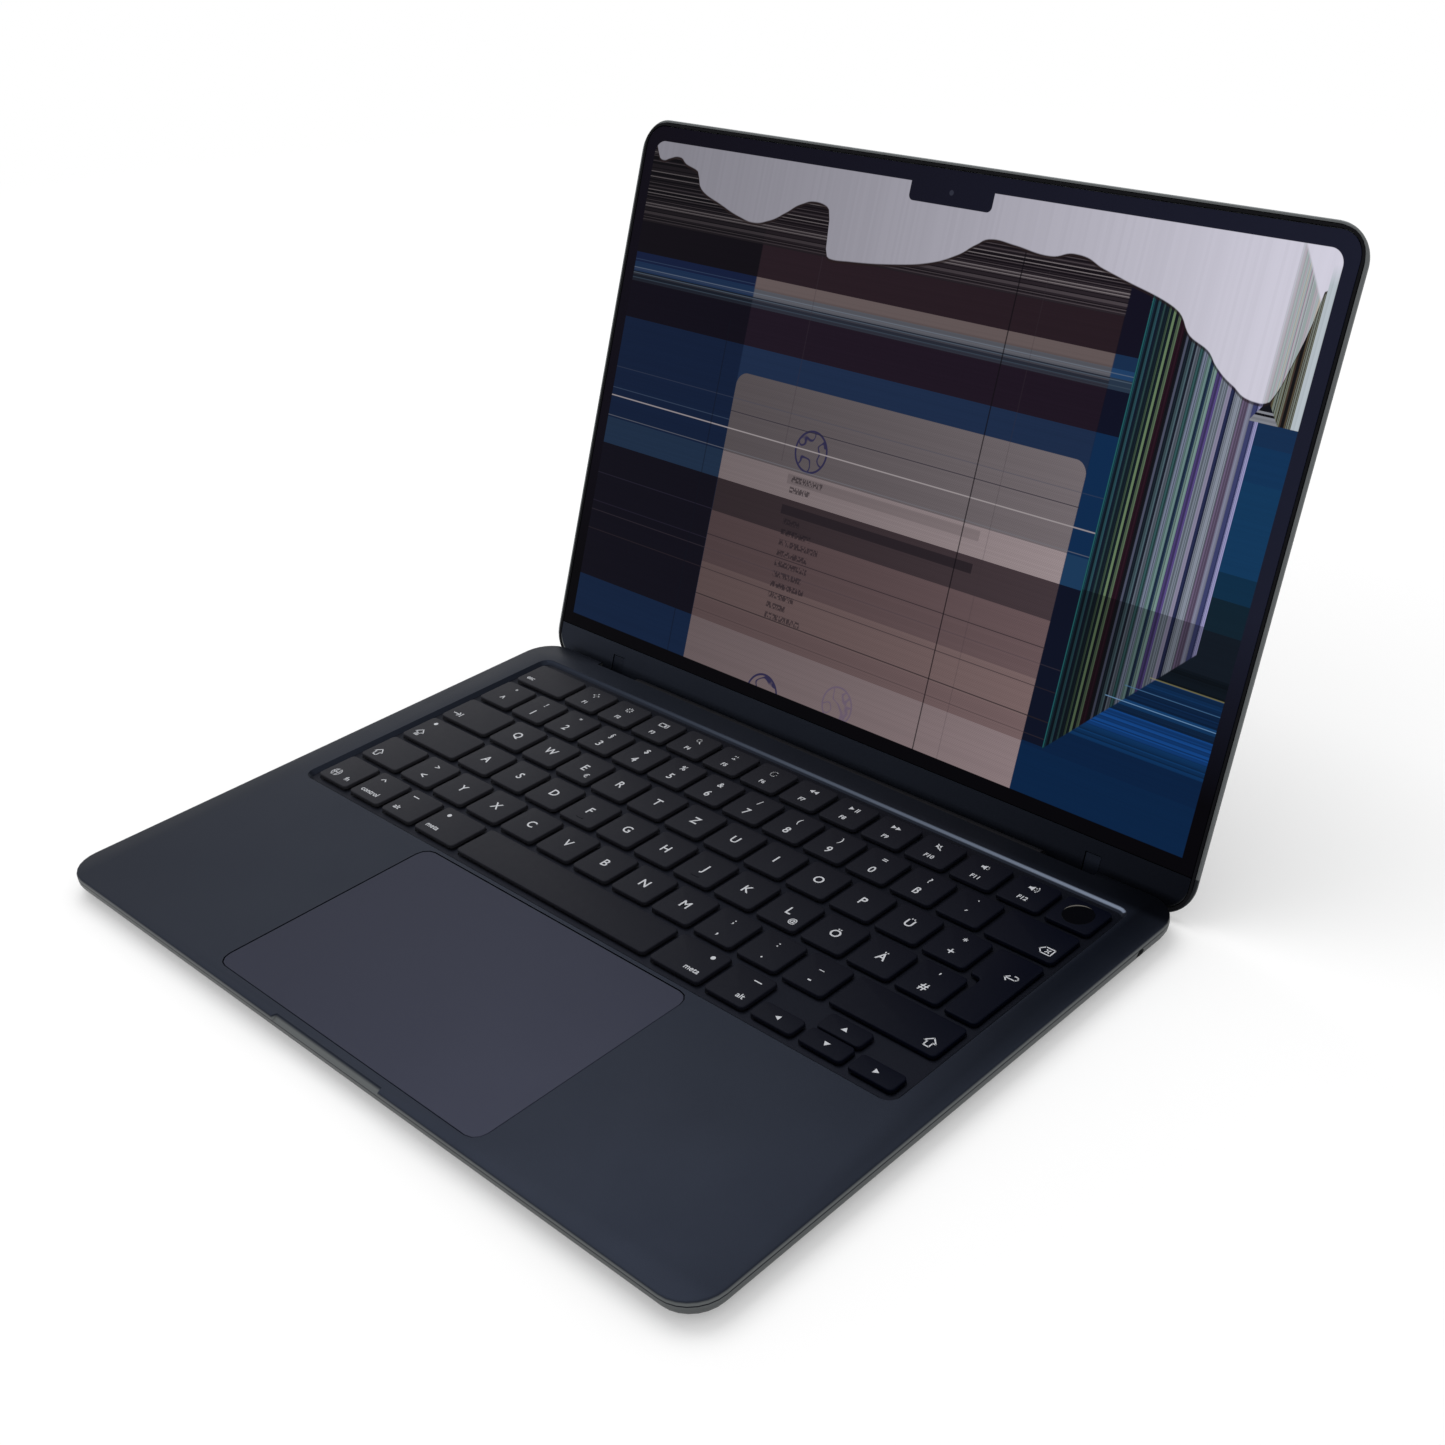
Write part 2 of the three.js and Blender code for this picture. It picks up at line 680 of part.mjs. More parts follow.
// A pouch cell beside the trackpad steps down to a thinner one under the front key rows.
function battery(side) {
  const left = PAD_WIDTH / 2 + BATTERY_FROM_PAD;
  const right = WIDTH / 2 - BATTERY_FROM_SIDE;
  const front = -DEPTH / 2 + UNDERSIDE_RADIUS + COVER_LEDGE + 2 * CLEARANCE;
  const rear = wellFront - WELL_WALL - CLEARANCE;
  const top = -DECK_SKIN - CLEARANCE;
  const round = [[BATTERY_EDGE, floorOfBase], [0, floorOfBase + BATTERY_EDGE]];
  const cell = slab(rectangle(left, right, front, rear), BATTERY_CORNER, SMALL_STEPS, [
    ...round,
    [0, top - BATTERY_EDGE],
    [BATTERY_EDGE, top],
  ]);
  const underKeys = rectangle(CLEARANCE, speakerLeft - INNER_GAP, rear - INNER_GAP, boardFront - INNER_GAP);
  const step = slab(underKeys, BATTERY_CORNER, SMALL_STEPS, [...round, [BATTERY_EDGE / 2, belowKeys]]);
  const body = join(cell, step);
  return side > 0 ? body : body.mirror([1, 0, 0]);
}

const boardTop = floorOfBase + BOARD_THICKNESS;

function logicBoard() {
  const half = BOARD_WIDTH / 2;
  const outline = rectangle(-half, half, boardFront, boardRear);
  const sheet = plate(outline, BOARD_CORNER, SMALL_STEPS, floorOfBase, boardTop);
  const bite = box(
    -half - PAST,
    -half + BOARD_BITE_WIDTH,
    boardFront - PAST,
    boardFront + BOARD_BITE_DEPTH,
    floorOfBase - PAST,
    boardTop + PAST,
  );
  const middleY = boardRear - BOARD_DEPTH / 2;
  const low = boardTop - BOARD_THICKNESS / 2;
  const chips = CHIPS.map(([x, size]) => {
    const reach = size / 2;
    return box(x - reach, x + reach, middleY - reach, middleY + reach, low, boardTop + CHIP_HEIGHT);
  });
  return join(cut(sheet, bite), ...chips);
}

function heatSpreader() {
  const low = boardTop + CHIP_HEIGHT + CLEARANCE;
  const middleY = boardRear - BOARD_DEPTH / 2;
  const side = SPREADER_WIDTH / 2;
  const reach = SPREADER_DEPTH / 2;
  const outline = rectangle(-side, side, middleY - reach, middleY + reach);
  return plate(outline, SPREADER_CORNER, SMALL_STEPS, low, low + SPREADER_THICKNESS);
}

function speaker(side) {
  const front = keyboardFront + INNER_GAP;
  const outline = rectangle(speakerLeft, speakerRight, front, front + SPEAKER_DEPTH);
  const x = (speakerLeft + speakerRight) / 2;
  const y = front + SPEAKER_DEPTH / 2;
  const bottom = SPEAKER_CONE - 2 * SPEAKER_CONE_DEPTH;
  const cone = disc(x, y, belowKeys, SPEAKER_CONE, 2 * SPEAKER_CONE_DEPTH, bottom);
  const body = cut(plate(outline, SPEAKER_CORNER, SMALL_STEPS, floorOfBase, belowKeys), cone);
  return side > 0 ? body : body.mirror([1, 0, 0]);
}

const socketFace = innerSide - SOCKET_SET_BACK;

// The charging socket holds a raised island with a row of pins.
function chargeSocket() {
  const grow = 2 * SOCKET_SHELL;
  const shell = barAlongX(
    stadium(chargeY, portZ, CHARGE_PORT_WIDTH + grow, CHARGE_PORT_HEIGHT - grow),
    -socketFace,
    -socketFace + SOCKET_LENGTH,
  );
  const hollow = barAlongX(
    stadium(chargeY, portZ, CHARGE_PORT_WIDTH - grow, CHARGE_PORT_HEIGHT - 3 * grow),
    -socketFace - PAST,
    -socketFace + SOCKET_LENGTH / 3,
  );
  const pins = Array.from({ length: CHARGE_PINS }, (_, k) => {
    const y = chargeY + (k - (CHARGE_PINS - 1) / 2) * CHARGE_PIN_PITCH;
    const outline = circle(y, portZ, CHARGE_PIN_RADIUS, CHARGE_PIN_SIDES);
    return barAlongX(outline, -socketFace + SOCKET_LENGTH / 6, -socketFace + SOCKET_LENGTH / 2);
  });
  return join(cut(shell, hollow), ...pins);
}

// Two data sockets share one small board, each with a tongue in its middle.
function dataSockets() {
  const end = -socketFace + SOCKET_LENGTH;
  const bodies = dataY.map((y) => {
    const shell = barAlongX(stadium(y, portZ, DATA_PORT_WIDTH, DATA_PORT_HEIGHT), -socketFace, end);
    const hollow = barAlongX(
      stadium(y, portZ, DATA_PORT_WIDTH - 2 * SOCKET_SHELL, DATA_PORT_HEIGHT - 2 * SOCKET_SHELL),
      -socketFace - PAST,
      end - SOCKET_END,
    );
    const reach = DATA_PORT_WIDTH / 2 - 4 * SOCKET_SHELL;
    const tongue = box(
      -socketFace + TONGUE_SET_BACK,
      end,
      y - reach,
      y + reach,
      portZ - DATA_TONGUE / 2,
      portZ + DATA_TONGUE / 2,
    );
    return join(cut(shell, hollow), tongue);
  });
  const boardLow = portZ - SOCKET_BOARD_DROP;
  const board = box(
    end - SOCKET_END,
    end + SOCKET_BOARD_REACH,
    dataY[1] - DATA_PORT_WIDTH / 2,
    dataY[0] + DATA_PORT_WIDTH / 2,
    boardLow,
    boardLow + SOCKET_BOARD_THICKNESS,
  );
  return join(...bodies, board);
}

function audioJack() {
  const end = socketFace - JACK_LENGTH;
  const barrel = barAlongX(circle(jackY, portZ, JACK_BARREL_RADIUS), end, socketFace);
  const bore = barAlongX(circle(jackY, portZ, JACK_BORE_RADIUS), end + SOCKET_END, socketFace + PAST);
  return cut(barrel, bore);
}

// Hinge: a barrel and its foot stay with the base, and an arm with a pin turns with the lid.

const barrelOuter = slotSide - CLEARANCE - ARM_WIDTH - 2 * CLEARANCE - BARREL_FROM_ARM;
const barrelInner = barrelOuter - BARREL_LENGTH;

function hingeBarrel(side) {
  const round = barAlongX(circle(axisY, axisZ, BARREL_RADIUS), barrelInner, barrelOuter);
  const low = axisZ - BARREL_RADIUS;
  const shoeFront = axisY - BARREL_FOOT_REACH;
  const shoe = box(barrelInner, barrelOuter, shoeFront, axisY, low, low + BARREL_FOOT_THICKNESS);
  const hole = circle(axisY, axisZ, PIN_RADIUS + CLEARANCE);
  const bore = barAlongX(hole, barrelInner - PAST, barrelOuter + PAST);
  const body = cut(join(round, shoe), bore);
  return side > 0 ? body : body.mirror([1, 0, 0]);
}

// The aerial cover fills the notch between the hinges and stays just clear of the lid.
function antennaCover() {
  const edge = DEPTH / 2 - SLOT_DEPTH - axisY + CLEARANCE;
  const underSkin = -DECK_SKIN - CLEARANCE - axisZ;
  const low = ledgeBottom + CLEARANCE - axisZ;
  const from = Math.asin(low / ANTENNA_RADIUS);
  const to = Math.acos(edge / ANTENNA_RADIUS);
  const arc = Array.from({ length: ANTENNA_STEPS + 1 }, (_, k) => {
    const turn = from + ((to - from) * k) / ANTENNA_STEPS;
    return new THREE.Vector2(ANTENNA_RADIUS * Math.cos(turn), ANTENNA_RADIUS * Math.sin(turn));
  });
  const section = [
    ...arc,
    new THREE.Vector2(edge, underSkin),
    new THREE.Vector2(-ANTENNA_FRONT_REACH, underSkin),
    new THREE.Vector2(-ANTENNA_FRONT_REACH, low),
  ].map((p) => new THREE.Vector2(p.x + axisY, p.y + axisZ));
  const reach = barrelInner - CLEARANCE;
  return barAlongX(section, -reach, reach);
}

// The lid is drawn closed, with its origin on the hinge axis and its front edge towards -Y.

const faceZ = AXIS_DEPTH + CLOSED_GAP;
const outerZ = faceZ + LID_THICKNESS;
const lidTail = AXIS_FROM_REAR;
const lidTip = lidTail - DEPTH;
const lidCorners = rectangle(-WIDTH / 2, WIDTH / 2, lidTip, lidTail);
const displayTop = lidTip + DISPLAY_FROM_TOP;
const displayBottom = lidTail - DISPLAY_FROM_TAIL;
const displayHalf = WIDTH / 2 - DISPLAY_FROM_SIDE;
const glassBottom = displayBottom + GLASS_BELOW_DISPLAY;
const glassInset = LID_RIM + GASKET_WIDTH + 2 * CLEARANCE;
const faceHalf = WIDTH / 2 - glassInset;
const faceCorners = rectangle(-faceHalf, faceHalf, lidTip + glassInset, lidTail - glassInset);
const gasketInside = inset(faceCorners, -CLEARANCE);
const gasketOutside = inset(gasketInside, -GASKET_WIDTH);
const recessCorners = inset(gasketOutside, -CLEARANCE);
const gasketEnd = WIDTH / 2 - GASKET_END_FROM_SIDE;
const recessFloor = outerZ - LID_FLOOR;
const glassBack = faceZ + GLASS_THICKNESS;
const behindGlass = glassBack + CLEARANCE;
const armInner = barrelOuter + CLEARANCE;
const armOuter = armInner + ARM_WIDTH;
const armPlateTop = faceZ + CLEARANCE + ARM_PLATE_THICKNESS;
const neckFront = CLEARANCE - SLOT_DEPTH + AXIS_FROM_REAR;
const neckRear = neckFront + ARM_NECK;

// All of the lid's width in front of, or behind, a line across it.
const acrossLid = (front, rear) => box(-WIDTH, WIDTH, front, rear, faceZ - 2 * PAST, outerZ + 2 * PAST);

function lidBack() {
  const outside = slab(lidCorners, CORNER_RADIUS, CASE_STEPS, [
    [LID_FRONT_EDGE, faceZ],
    [0, faceZ + LID_FRONT_EDGE],
    ...edgeArc(LID_EDGE_RADIUS, outerZ - LID_EDGE_RADIUS, true),
  ]);
  const recessRadius = GLASS_CORNER + glassInset - LID_RIM;
  const recess = plate(recessCorners, recessRadius, CASE_STEPS, faceZ - PAST, recessFloor);
  const face = plate(faceCorners, GLASS_CORNER, CASE_STEPS, faceZ - 2 * PAST, recessFloor + PAST);
  const chin = face.intersect(acrossLid(glassBottom + CLEARANCE, DEPTH));
  const tail = box(
    CLEARANCE - gasketEnd,
    gasketEnd - CLEARANCE,
    glassBottom + CLEARANCE,
    DEPTH,
    faceZ - 2 * PAST,
    recessFloor + PAST,
  );
  const pockets = [-1, 1].map((side) => {
    const pocket = box(
      armInner - CLEARANCE,
      armOuter + CLEARANCE,
      neckRear - ARM_PLATE_REACH - CLEARANCE,
      neckRear + CLEARANCE,
      faceZ - PAST,
      armPlateTop + CLEARANCE,
    );
    return side > 0 ? pocket : pocket.mirror([1, 0, 0]);
  });
  return cut(outside, cut(recess, chin, tail), ...pockets);
}

// The gasket runs round the glass and the corners of the chin, and ends short of the hinges.
function displayGasket() {
  const low = faceZ - GASKET_PROUD;
  const high = low + GASKET_HEIGHT;
  const radius = GLASS_CORNER + CLEARANCE;
  const outside = plate(gasketOutside, radius + GASKET_WIDTH, CASE_STEPS, low, high);
  const inside = plate(gasketInside, radius, CASE_STEPS, low - PAST, high + PAST);
  const opening = box(-gasketEnd, gasketEnd, glassBottom, DEPTH, low - PAST, high + PAST);
  return cut(outside, inside, opening);
}

// The glass is round at its upper corners and cut off straight above the chin.
function coverGlass() {
  const sheet = slab(faceCorners, GLASS_CORNER, CASE_STEPS, [
    [GLASS_BEVEL, faceZ],
    [0, faceZ + GLASS_BEVEL],
    [0, glassBack],
  ]);
  return cut(sheet, acrossLid(glassBottom, DEPTH));
}

// The panel keeps the shape of the picture: round top corners and a notch for the camera.
function displayPanel() {
  const low = behindGlass;
  const high = low + PANEL_THICKNESS;
  const picture = rectangle(-displayHalf, displayHalf, displayTop, displayBottom);
  const sheet = plate(picture, DISPLAY_CORNER, CASE_STEPS, low, high);
  const notch = NOTCH_WIDTH / 2;
  const bite = plate(
    rectangle(-notch, notch, displayTop - NOTCH_DEPTH, displayTop + NOTCH_DEPTH),
    NOTCH_CORNER,
    SMALL_STEPS,
    low - PAST,
    high + PAST,
  );
  return cut(sheet, bite);
}

function cameraModule() {
  const middleY = displayTop + CAMERA_DEPTH / 2 + CLEARANCE;
  const half = CAMERA_WIDTH / 2;
  const body = plate(
    rectangle(-half, half, middleY - CAMERA_DEPTH / 2, middleY + CAMERA_DEPTH / 2),
    CAMERA_CORNER,
    SMALL_STEPS,
    behindGlass + CAMERA_SET_BACK,
    behindGlass + PANEL_THICKNESS,
  );
  return join(body, disc(0, middleY, behindGlass + CAMERA_BARREL / 2, CAMERA_LENS_RADIUS, CAMERA_BARREL));
}

function driverBoard() {
  const half = DRIVER_BOARD_WIDTH / 2;
  const front = displayBottom + CLEARANCE;
  const outline = rectangle(-half, half, front, front + DRIVER_BOARD_DEPTH);
  const back = behindGlass + DRIVER_BOARD_THICKNESS;
  return plate(outline, DRIVER_BOARD_CORNER, SMALL_STEPS, behindGlass, back);
}

function hingeArm(side) {
  const eye = barAlongX(circle(0, 0, BARREL_RADIUS), armInner, armOuter);
  const pin = barAlongX(circle(0, 0, PIN_RADIUS), armInner - PIN_LENGTH, armInner + ARM_WIDTH / 2);
  const neck = box(armInner, armOuter, neckFront, neckRear, 0, armPlateTop);
  const flange = box(
    armInner,
    armOuter,
    neckRear - ARM_PLATE_REACH,
    neckRear,
    armPlateTop - ARM_PLATE_THICKNESS,
    armPlateTop,
  );
  const body = join(eye, pin, neck, flange);
  return side > 0 ? body : body.mirror([1, 0, 0]);
}

// Assembly

const base = new THREE.Group();
piece("upper_case", upperCase(), finish.shell, base);
piece("bottom_cover", bottomCover(), finish.shell, base);
footPlaces.forEach((place) => piece(place.name, foot(place), finish.rubber, base));
piece("keyboard_plate", keyboardPlate(), finish.cap, base);
keys
  .filter(({ name }) => name !== null)
  .forEach((key) => piece(key.name, movingKey(key), finish.cap, base));
piece("trackpad_glass", trackpadGlass(), finish.padGlass, base);
piece("trackpad_tray", trackpadTray(), finish.steel, base);
piece("battery_left", battery(-1), finish.battery, base);
piece("battery_right", battery(1), finish.battery, base);
piece("logic_board", logicBoard(), finish.board, base);
piece("heat_spreader", heatSpreader(), finish.copper, base);
piece("speaker_left", speaker(-1), finish.plastic, base);
piece("speaker_right", speaker(1), finish.plastic, base);
piece("charge_socket", chargeSocket(), finish.steel, base);
piece("data_sockets", dataSockets(), finish.steel, base);
piece("audio_jack", audioJack(), finish.plastic, base);
piece("hinge_barrel_left", hingeBarrel(-1), finish.steel, base);
piece("hinge_barrel_right", hingeBarrel(1), finish.steel, base);
piece("antenna_cover", antennaCover(), finish.plastic, base);

const lid = new THREE.Group();
piece("lid_back", lidBack(), finish.shell, lid);
piece("display_gasket", displayGasket(), finish.rubber, lid);
piece("cover_glass", coverGlass(), finish.screenGlass, lid);
piece("display_panel", displayPanel(), finish.panel, lid);
piece("camera_module", cameraModule(), finish.plastic, lid);
piece("display_driver_board", driverBoard(), finish.board, lid);
piece("hinge_arm_left", hingeArm(-1), finish.steel, lid);
piece("hinge_arm_right", hingeArm(1), finish.steel, lid);
lid.position.set(0, axisY, axisZ);
lid.rotation.x = -THREE.MathUtils.degToRad(OPEN_ANGLE);

const laptop = new THREE.Group();
laptop.add(base, lid);
laptop.updateMatrixWorld(true);

// The origin moves to the middle of the footprint, level with the soles of the feet.
const bounds = new THREE.Box3().setFromObject(laptop, true);
laptop.position.set(0, -(bounds.min.y + bounds.max.y) / 2, -bounds.min.z);

export default laptop;
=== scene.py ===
# %% [markdown]
# A slim laptop with a broken picture.
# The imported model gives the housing, hinge and every moving key at their real size and place.
# This lesson gives them their finish: blasted and dyed aluminium, moulded key caps with printed
# legends, etched glass, and a display that still lights up although its panel is damaged.

import json
import math

import bpy
import numpy as np
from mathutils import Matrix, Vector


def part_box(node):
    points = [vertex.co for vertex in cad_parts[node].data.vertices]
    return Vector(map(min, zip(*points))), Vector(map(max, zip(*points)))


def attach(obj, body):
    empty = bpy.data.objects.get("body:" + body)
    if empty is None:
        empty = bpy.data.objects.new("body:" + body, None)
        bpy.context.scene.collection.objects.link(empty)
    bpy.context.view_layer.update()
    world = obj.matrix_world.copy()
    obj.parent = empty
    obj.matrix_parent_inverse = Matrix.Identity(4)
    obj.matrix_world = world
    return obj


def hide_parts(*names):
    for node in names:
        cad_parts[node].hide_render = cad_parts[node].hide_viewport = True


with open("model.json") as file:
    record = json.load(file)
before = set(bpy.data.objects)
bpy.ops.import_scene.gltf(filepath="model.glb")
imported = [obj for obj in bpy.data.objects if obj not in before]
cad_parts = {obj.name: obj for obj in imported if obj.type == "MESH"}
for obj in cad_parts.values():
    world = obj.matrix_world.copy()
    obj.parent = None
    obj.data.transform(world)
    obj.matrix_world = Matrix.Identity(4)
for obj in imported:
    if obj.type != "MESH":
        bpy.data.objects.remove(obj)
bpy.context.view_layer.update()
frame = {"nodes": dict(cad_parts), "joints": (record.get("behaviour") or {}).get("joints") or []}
scene = bpy.context.scene
scene.view_settings.view_transform = "Standard"
MM = 0.001
ACROSS, DEEP, HIGH = (1, 0, 0), (0, 1, 0), (0, 0, 1)


def put(name, data):
    """A new object of the scene."""
    made = bpy.data.objects.new(name, data)
    scene.collection.objects.link(made)
    return made


def corners_of(mesh):
    flat = np.empty(len(mesh.vertices) * 3)
    mesh.vertices.foreach_get("co", flat)
    return flat.reshape(-1, 3)


# %% [markdown]
# The camera stands where the photographer stood.
# Its focal length and the pixel that it looks through are those of the photograph, which was
# cropped, so the sensor is shifted a little and not the aim.

# %% Camera
PHOTO_SIDE = 1445
FOCAL_PIXELS = 1795.7
CENTRE_PIXEL = (813.5, 750.1)
CAMERA_PLACE = (0.3851, -0.3412, 0.3366)
CAMERA_TURN = (59.83, 2.35, 42.32)
SENSOR = 36

camera_data = bpy.data.cameras.new("camera")
camera_data.sensor_width = SENSOR
camera_data.lens = FOCAL_PIXELS / PHOTO_SIDE * SENSOR
camera_data.shift_x = 0.5 - CENTRE_PIXEL[0] / PHOTO_SIDE
camera_data.shift_y = CENTRE_PIXEL[1] / PHOTO_SIDE - 0.5
camera_data.clip_start = 0.01
camera = put("camera", camera_data)
camera.location = CAMERA_PLACE
camera.rotation_euler = np.radians(CAMERA_TURN)
scene.camera = camera
print("camera lens", round(camera_data.lens, 2), "mm")

# %% [markdown]
# Shader sums are easier to read as Python than as boxes and wires.
# A Wire is one socket. Its operators add Math nodes, and its node method adds any other node, so
# a mask such as x.within(2, 5) * (1 - blot) is written as it is said.


# %% A small language for shaders
class Wire:
    """A socket of a node tree that can be used in sums. Every sum adds one Math node."""

    def __init__(self, tree, socket=None):
        self.tree = tree
        self.socket = socket

    def node(self, kind, settings=None, sockets=None, output=0):
        """Adds a node: its settings come first, then the values or links of its sockets."""
        made = self.tree.nodes.new("ShaderNode" + kind)
        for name, value in (settings or {}).items():
            if name == "stops":
                ramp = made.color_ramp
                ramp.elements.remove(ramp.elements[1])
                ramp.elements[0].position, ramp.elements[0].color = value[0]
                for place, shade in value[1:]:
                    ramp.elements.new(place).color = shade
            elif name == "spread":
                made.color_ramp.interpolation = value
            elif name == "points":
                curve = made.mapping.curves[0]
                for place, height in value[1:-1]:
                    curve.points.new(place, height)
                curve.points[0].location = value[0]
                curve.points[len(value) - 1].location = value[-1]
                made.mapping.update()
            else:
                setattr(made, name, value)
        for name, value in (sockets or {}).items():
            if isinstance(value, Wire):
                self.tree.links.new(value.socket, made.inputs[name])
            else:
                made.inputs[name].default_value = value
        return Wire(self.tree, made.outputs[output])

    def math(self, operation, *values, clamp=False):
        """A Math node fed by these values."""
        sockets = dict(enumerate(values))
        return self.node("Math", {"operation": operation, "use_clamp": clamp}, sockets)

    def __add__(self, other):
        return self.math("ADD", self, other)

    def __sub__(self, other):
        return self.math("SUBTRACT", self, other)

    def __rsub__(self, other):
        return self.math("SUBTRACT", other, self)

    def __mul__(self, other):
        return self.math("MULTIPLY", self, other)

    def __truediv__(self, other):
        return self.math("DIVIDE", self, other)

    __radd__ = __add__
    __rmul__ = __mul__

    def above(self, edge, soft=0.15):
        """0 below the edge and 1 above it, with a soft step between."""
        if isinstance(edge, Wire):
            return self.math("MULTIPLY_ADD", self - edge, 1 / soft, 0.5, clamp=True)
        return self.math("MULTIPLY_ADD", self, 1 / soft, 0.5 - edge / soft, clamp=True)

    def within(self, low, high, soft=0.15):
        """1 between two edges and 0 outside them."""
        return self.above(low, soft) * (1 - self.above(high, soft))

    def away(self, x, y, other):
        """How far the point (self, other) lies from (x, y)."""
        across, down = self - x, other - y
        return (across * across + down * down).root()

    def root(self):
        return self.math("SQRT", self)

    def place(self):
        """The point in the object's own coordinates."""
        return self.node("TexCoord", output="Object")

    def along(self, direction):
        """How far the point lies in a direction, in millimetres."""
        sockets = {0: self, 1: tuple(direction)}
        return self.node("VectorMath", {"operation": "DOT_PRODUCT"}, sockets, "Value") / MM

    def speckle(self, other):
        """A random number for each cell of a grid of whole numbers."""
        grid = self.node("CombineXYZ", None, {0: self.math("FLOOR", self), 1: self.math("FLOOR", other)})
        return self.node("TexWhiteNoise", {"noise_dimensions": "2D"}, {"Vector": grid})

    def cells(self):
        """A random number for each whole number that the value passes."""
        return self.node("TexWhiteNoise", {"noise_dimensions": "1D"}, {"W": self.math("FLOOR", self)})

    def mix(self, first, second):
        """Blends two colours by this value."""
        sockets = {0: self, 6: first, 7: second}
        return self.node("Mix", {"data_type": "RGBA"}, sockets, 2)

    def dim(self, colour):
        """The colour times this value."""
        colour = colour if isinstance(colour, Wire) else colour[:3]
        return self.node("VectorMath", {"operation": "SCALE"}, {0: colour, "Scale": self})

    def noise(self, scale, detail=2.0):
        """Noise over the object's own coordinates, with features 1 / scale metres apart."""
        return self.node("TexNoise", None, {"Vector": self.place(), "Scale": scale, "Detail": detail})


def paint(red, green, blue):
    """A colour given as it looks on a screen, 0 to 255, turned into the light it stands for."""
    shade = [(part / 255 + 0.055) / 1.055 for part in (red, green, blue)]
    return (*(part**2.4 for part in shade), 1.0)


def finish_of(name, colour, roughness, metallic=0.0, specular=0.5, rim=1.0):
    """A new material with its shader node and a first wire in its tree. The rim is how white the
    material turns where it is seen edge-on, from 0 to 1."""
    made = bpy.data.materials.new(name)
    made.use_nodes = True
    shader = made.node_tree.nodes["Principled BSDF"]
    shader.inputs["Base Color"].default_value = colour
    shader.inputs["Roughness"].default_value = roughness
    shader.inputs["Metallic"].default_value = metallic
    shader.inputs["Specular IOR Level"].default_value = specular
    shader.inputs["Specular Tint"].default_value = (rim, rim, rim, 1)
    return made, shader, Wire(made.node_tree)


def feed(shader, name, wire):
    wire.tree.links.new(wire.socket, shader.inputs[name])


def bump(shader, wire, height, distance):
    """Lets a height field of this depth in metres tilt the surface."""
    feed(shader, "Normal", wire.node("Bump", None, {"Height": height, "Distance": distance}))


# %% [markdown]
# The lid leans back by its opening angle, which the hinge in the frame knows. Distances on the
# lid are measured from the hinge: across, up the lid, and through it from front to back.

# %% Directions on the lid
hinge = next(joint for joint in frame["joints"] if joint["name"] == "lid_hinge")
open_angle = math.radians(-hinge["range_deg"][0])
lid_up = np.array([0.0, -math.cos(open_angle), math.sin(open_angle)])
lid_back = np.array([0.0, math.sin(open_angle), math.cos(open_angle)])


def reach(node, direction):
    """The lowest and the highest corner of a node in a direction, in millimetres."""
    far = corners_of(frame["nodes"][node].data) @ direction / MM
    return far.min(), far.max()


print("the lid leans back by", round(math.degrees(open_angle) - 90, 1), "degrees")

# %% [markdown]
# The housing is aluminium that was milled, blasted with fine beads and dyed a very dark blue.
# Up close it is a satin metal with a grain of a third of a millimetre; from a step away only its
# roughness and a few faint smears from hands are left. The grain is a bump, the smears are a slow
# noise in the roughness, and the dye varies by a few percent. Light and shade are painted into the
# colour too: painted light makes the walls of the base and of the lid paler, and painted shade
# darkens the web between the keys, the chin and the strip behind the keys, more so at the right.
# The slope between keys and strip carries a painted highlight, brighter at the right.


# %% Dyed aluminium
DYE_DEEP = paint(29, 33, 43)
DYE_PALE = paint(34, 38, 47)
WALL_PAINTED_LIGHT = paint(94, 97, 98)
WEB_PAINTED_SHADE = paint(19, 21, 29)
PAINTED_SHADE_COLOUR = paint(9, 11, 18)
SLOPE_HIGHLIGHT_LEFT = paint(40, 45, 56)
SLOPE_HIGHLIGHT_RIGHT = paint(120, 130, 148)
GRAIN_PER_METRE = 3200
CASE_CORNER = 12
CASE_HALF = 150
LID_MARGIN, BASE_MARGIN = 2.2, 4.5
LID_WALL, BASE_WALL_LOW = 3.0, 0.8
CHIN_HEIGHT = 15
WELL_PAST_KEYS = 4.7
PAINTED_SHADE_STRENGTH = 0.85


def rounded_box(x, y, left, right, top, bottom, radius):
    """1 inside a box with round corners, by the distance to the box that is radius smaller."""
    middle, half = (left + right) / 2, (right - left) / 2 - radius
    centre, rise = (top + bottom) / 2, (bottom - top) / 2 - radius
    across = x.math("MAXIMUM", x.math("ABSOLUTE", x - middle) - half, 0)
    down = x.math("MAXIMUM", x.math("ABSOLUTE", y - centre) - rise, 0)
    far = (across * across + down * down).root()
    return 1 - far.above(radius)


def dyed_aluminium(name, node, up, through, walls, margin):
    """Dyed metal, its shader, the point on it and its colour: the dye, with painted light that makes the
    walls paler. These are what lies within a margin of the outline and between two heights."""
    made, shader, wire = finish_of(name, DYE_DEEP, 0.42, 0.85, 0.15, 0.75)
    where = wire.place()
    low, high = reach(node, up)
    half = reach(node, ACROSS)[1] - margin
    face = rounded_box(
        where.along(ACROSS), where.along(up), -half, half, low + margin, high - margin,
        CASE_CORNER - margin,
    )
    height = where.along(through)
    wall = height.within(*walls, 0.5) * (1 - face)
    # The walls get painted light: a paler colour than the dye.
    dye_and_painted_light = wall.mix(wire.noise(14, 4.0).mix(DYE_DEEP, DYE_PALE), WALL_PAINTED_LIGHT)
    feed(shader, "Roughness", 0.36 + 0.12 * wire.noise(38, 5.0))
    bump(shader, wire, wire.noise(GRAIN_PER_METRE, 1.0), 0.00003)
    return made, shader, where, dye_and_painted_light


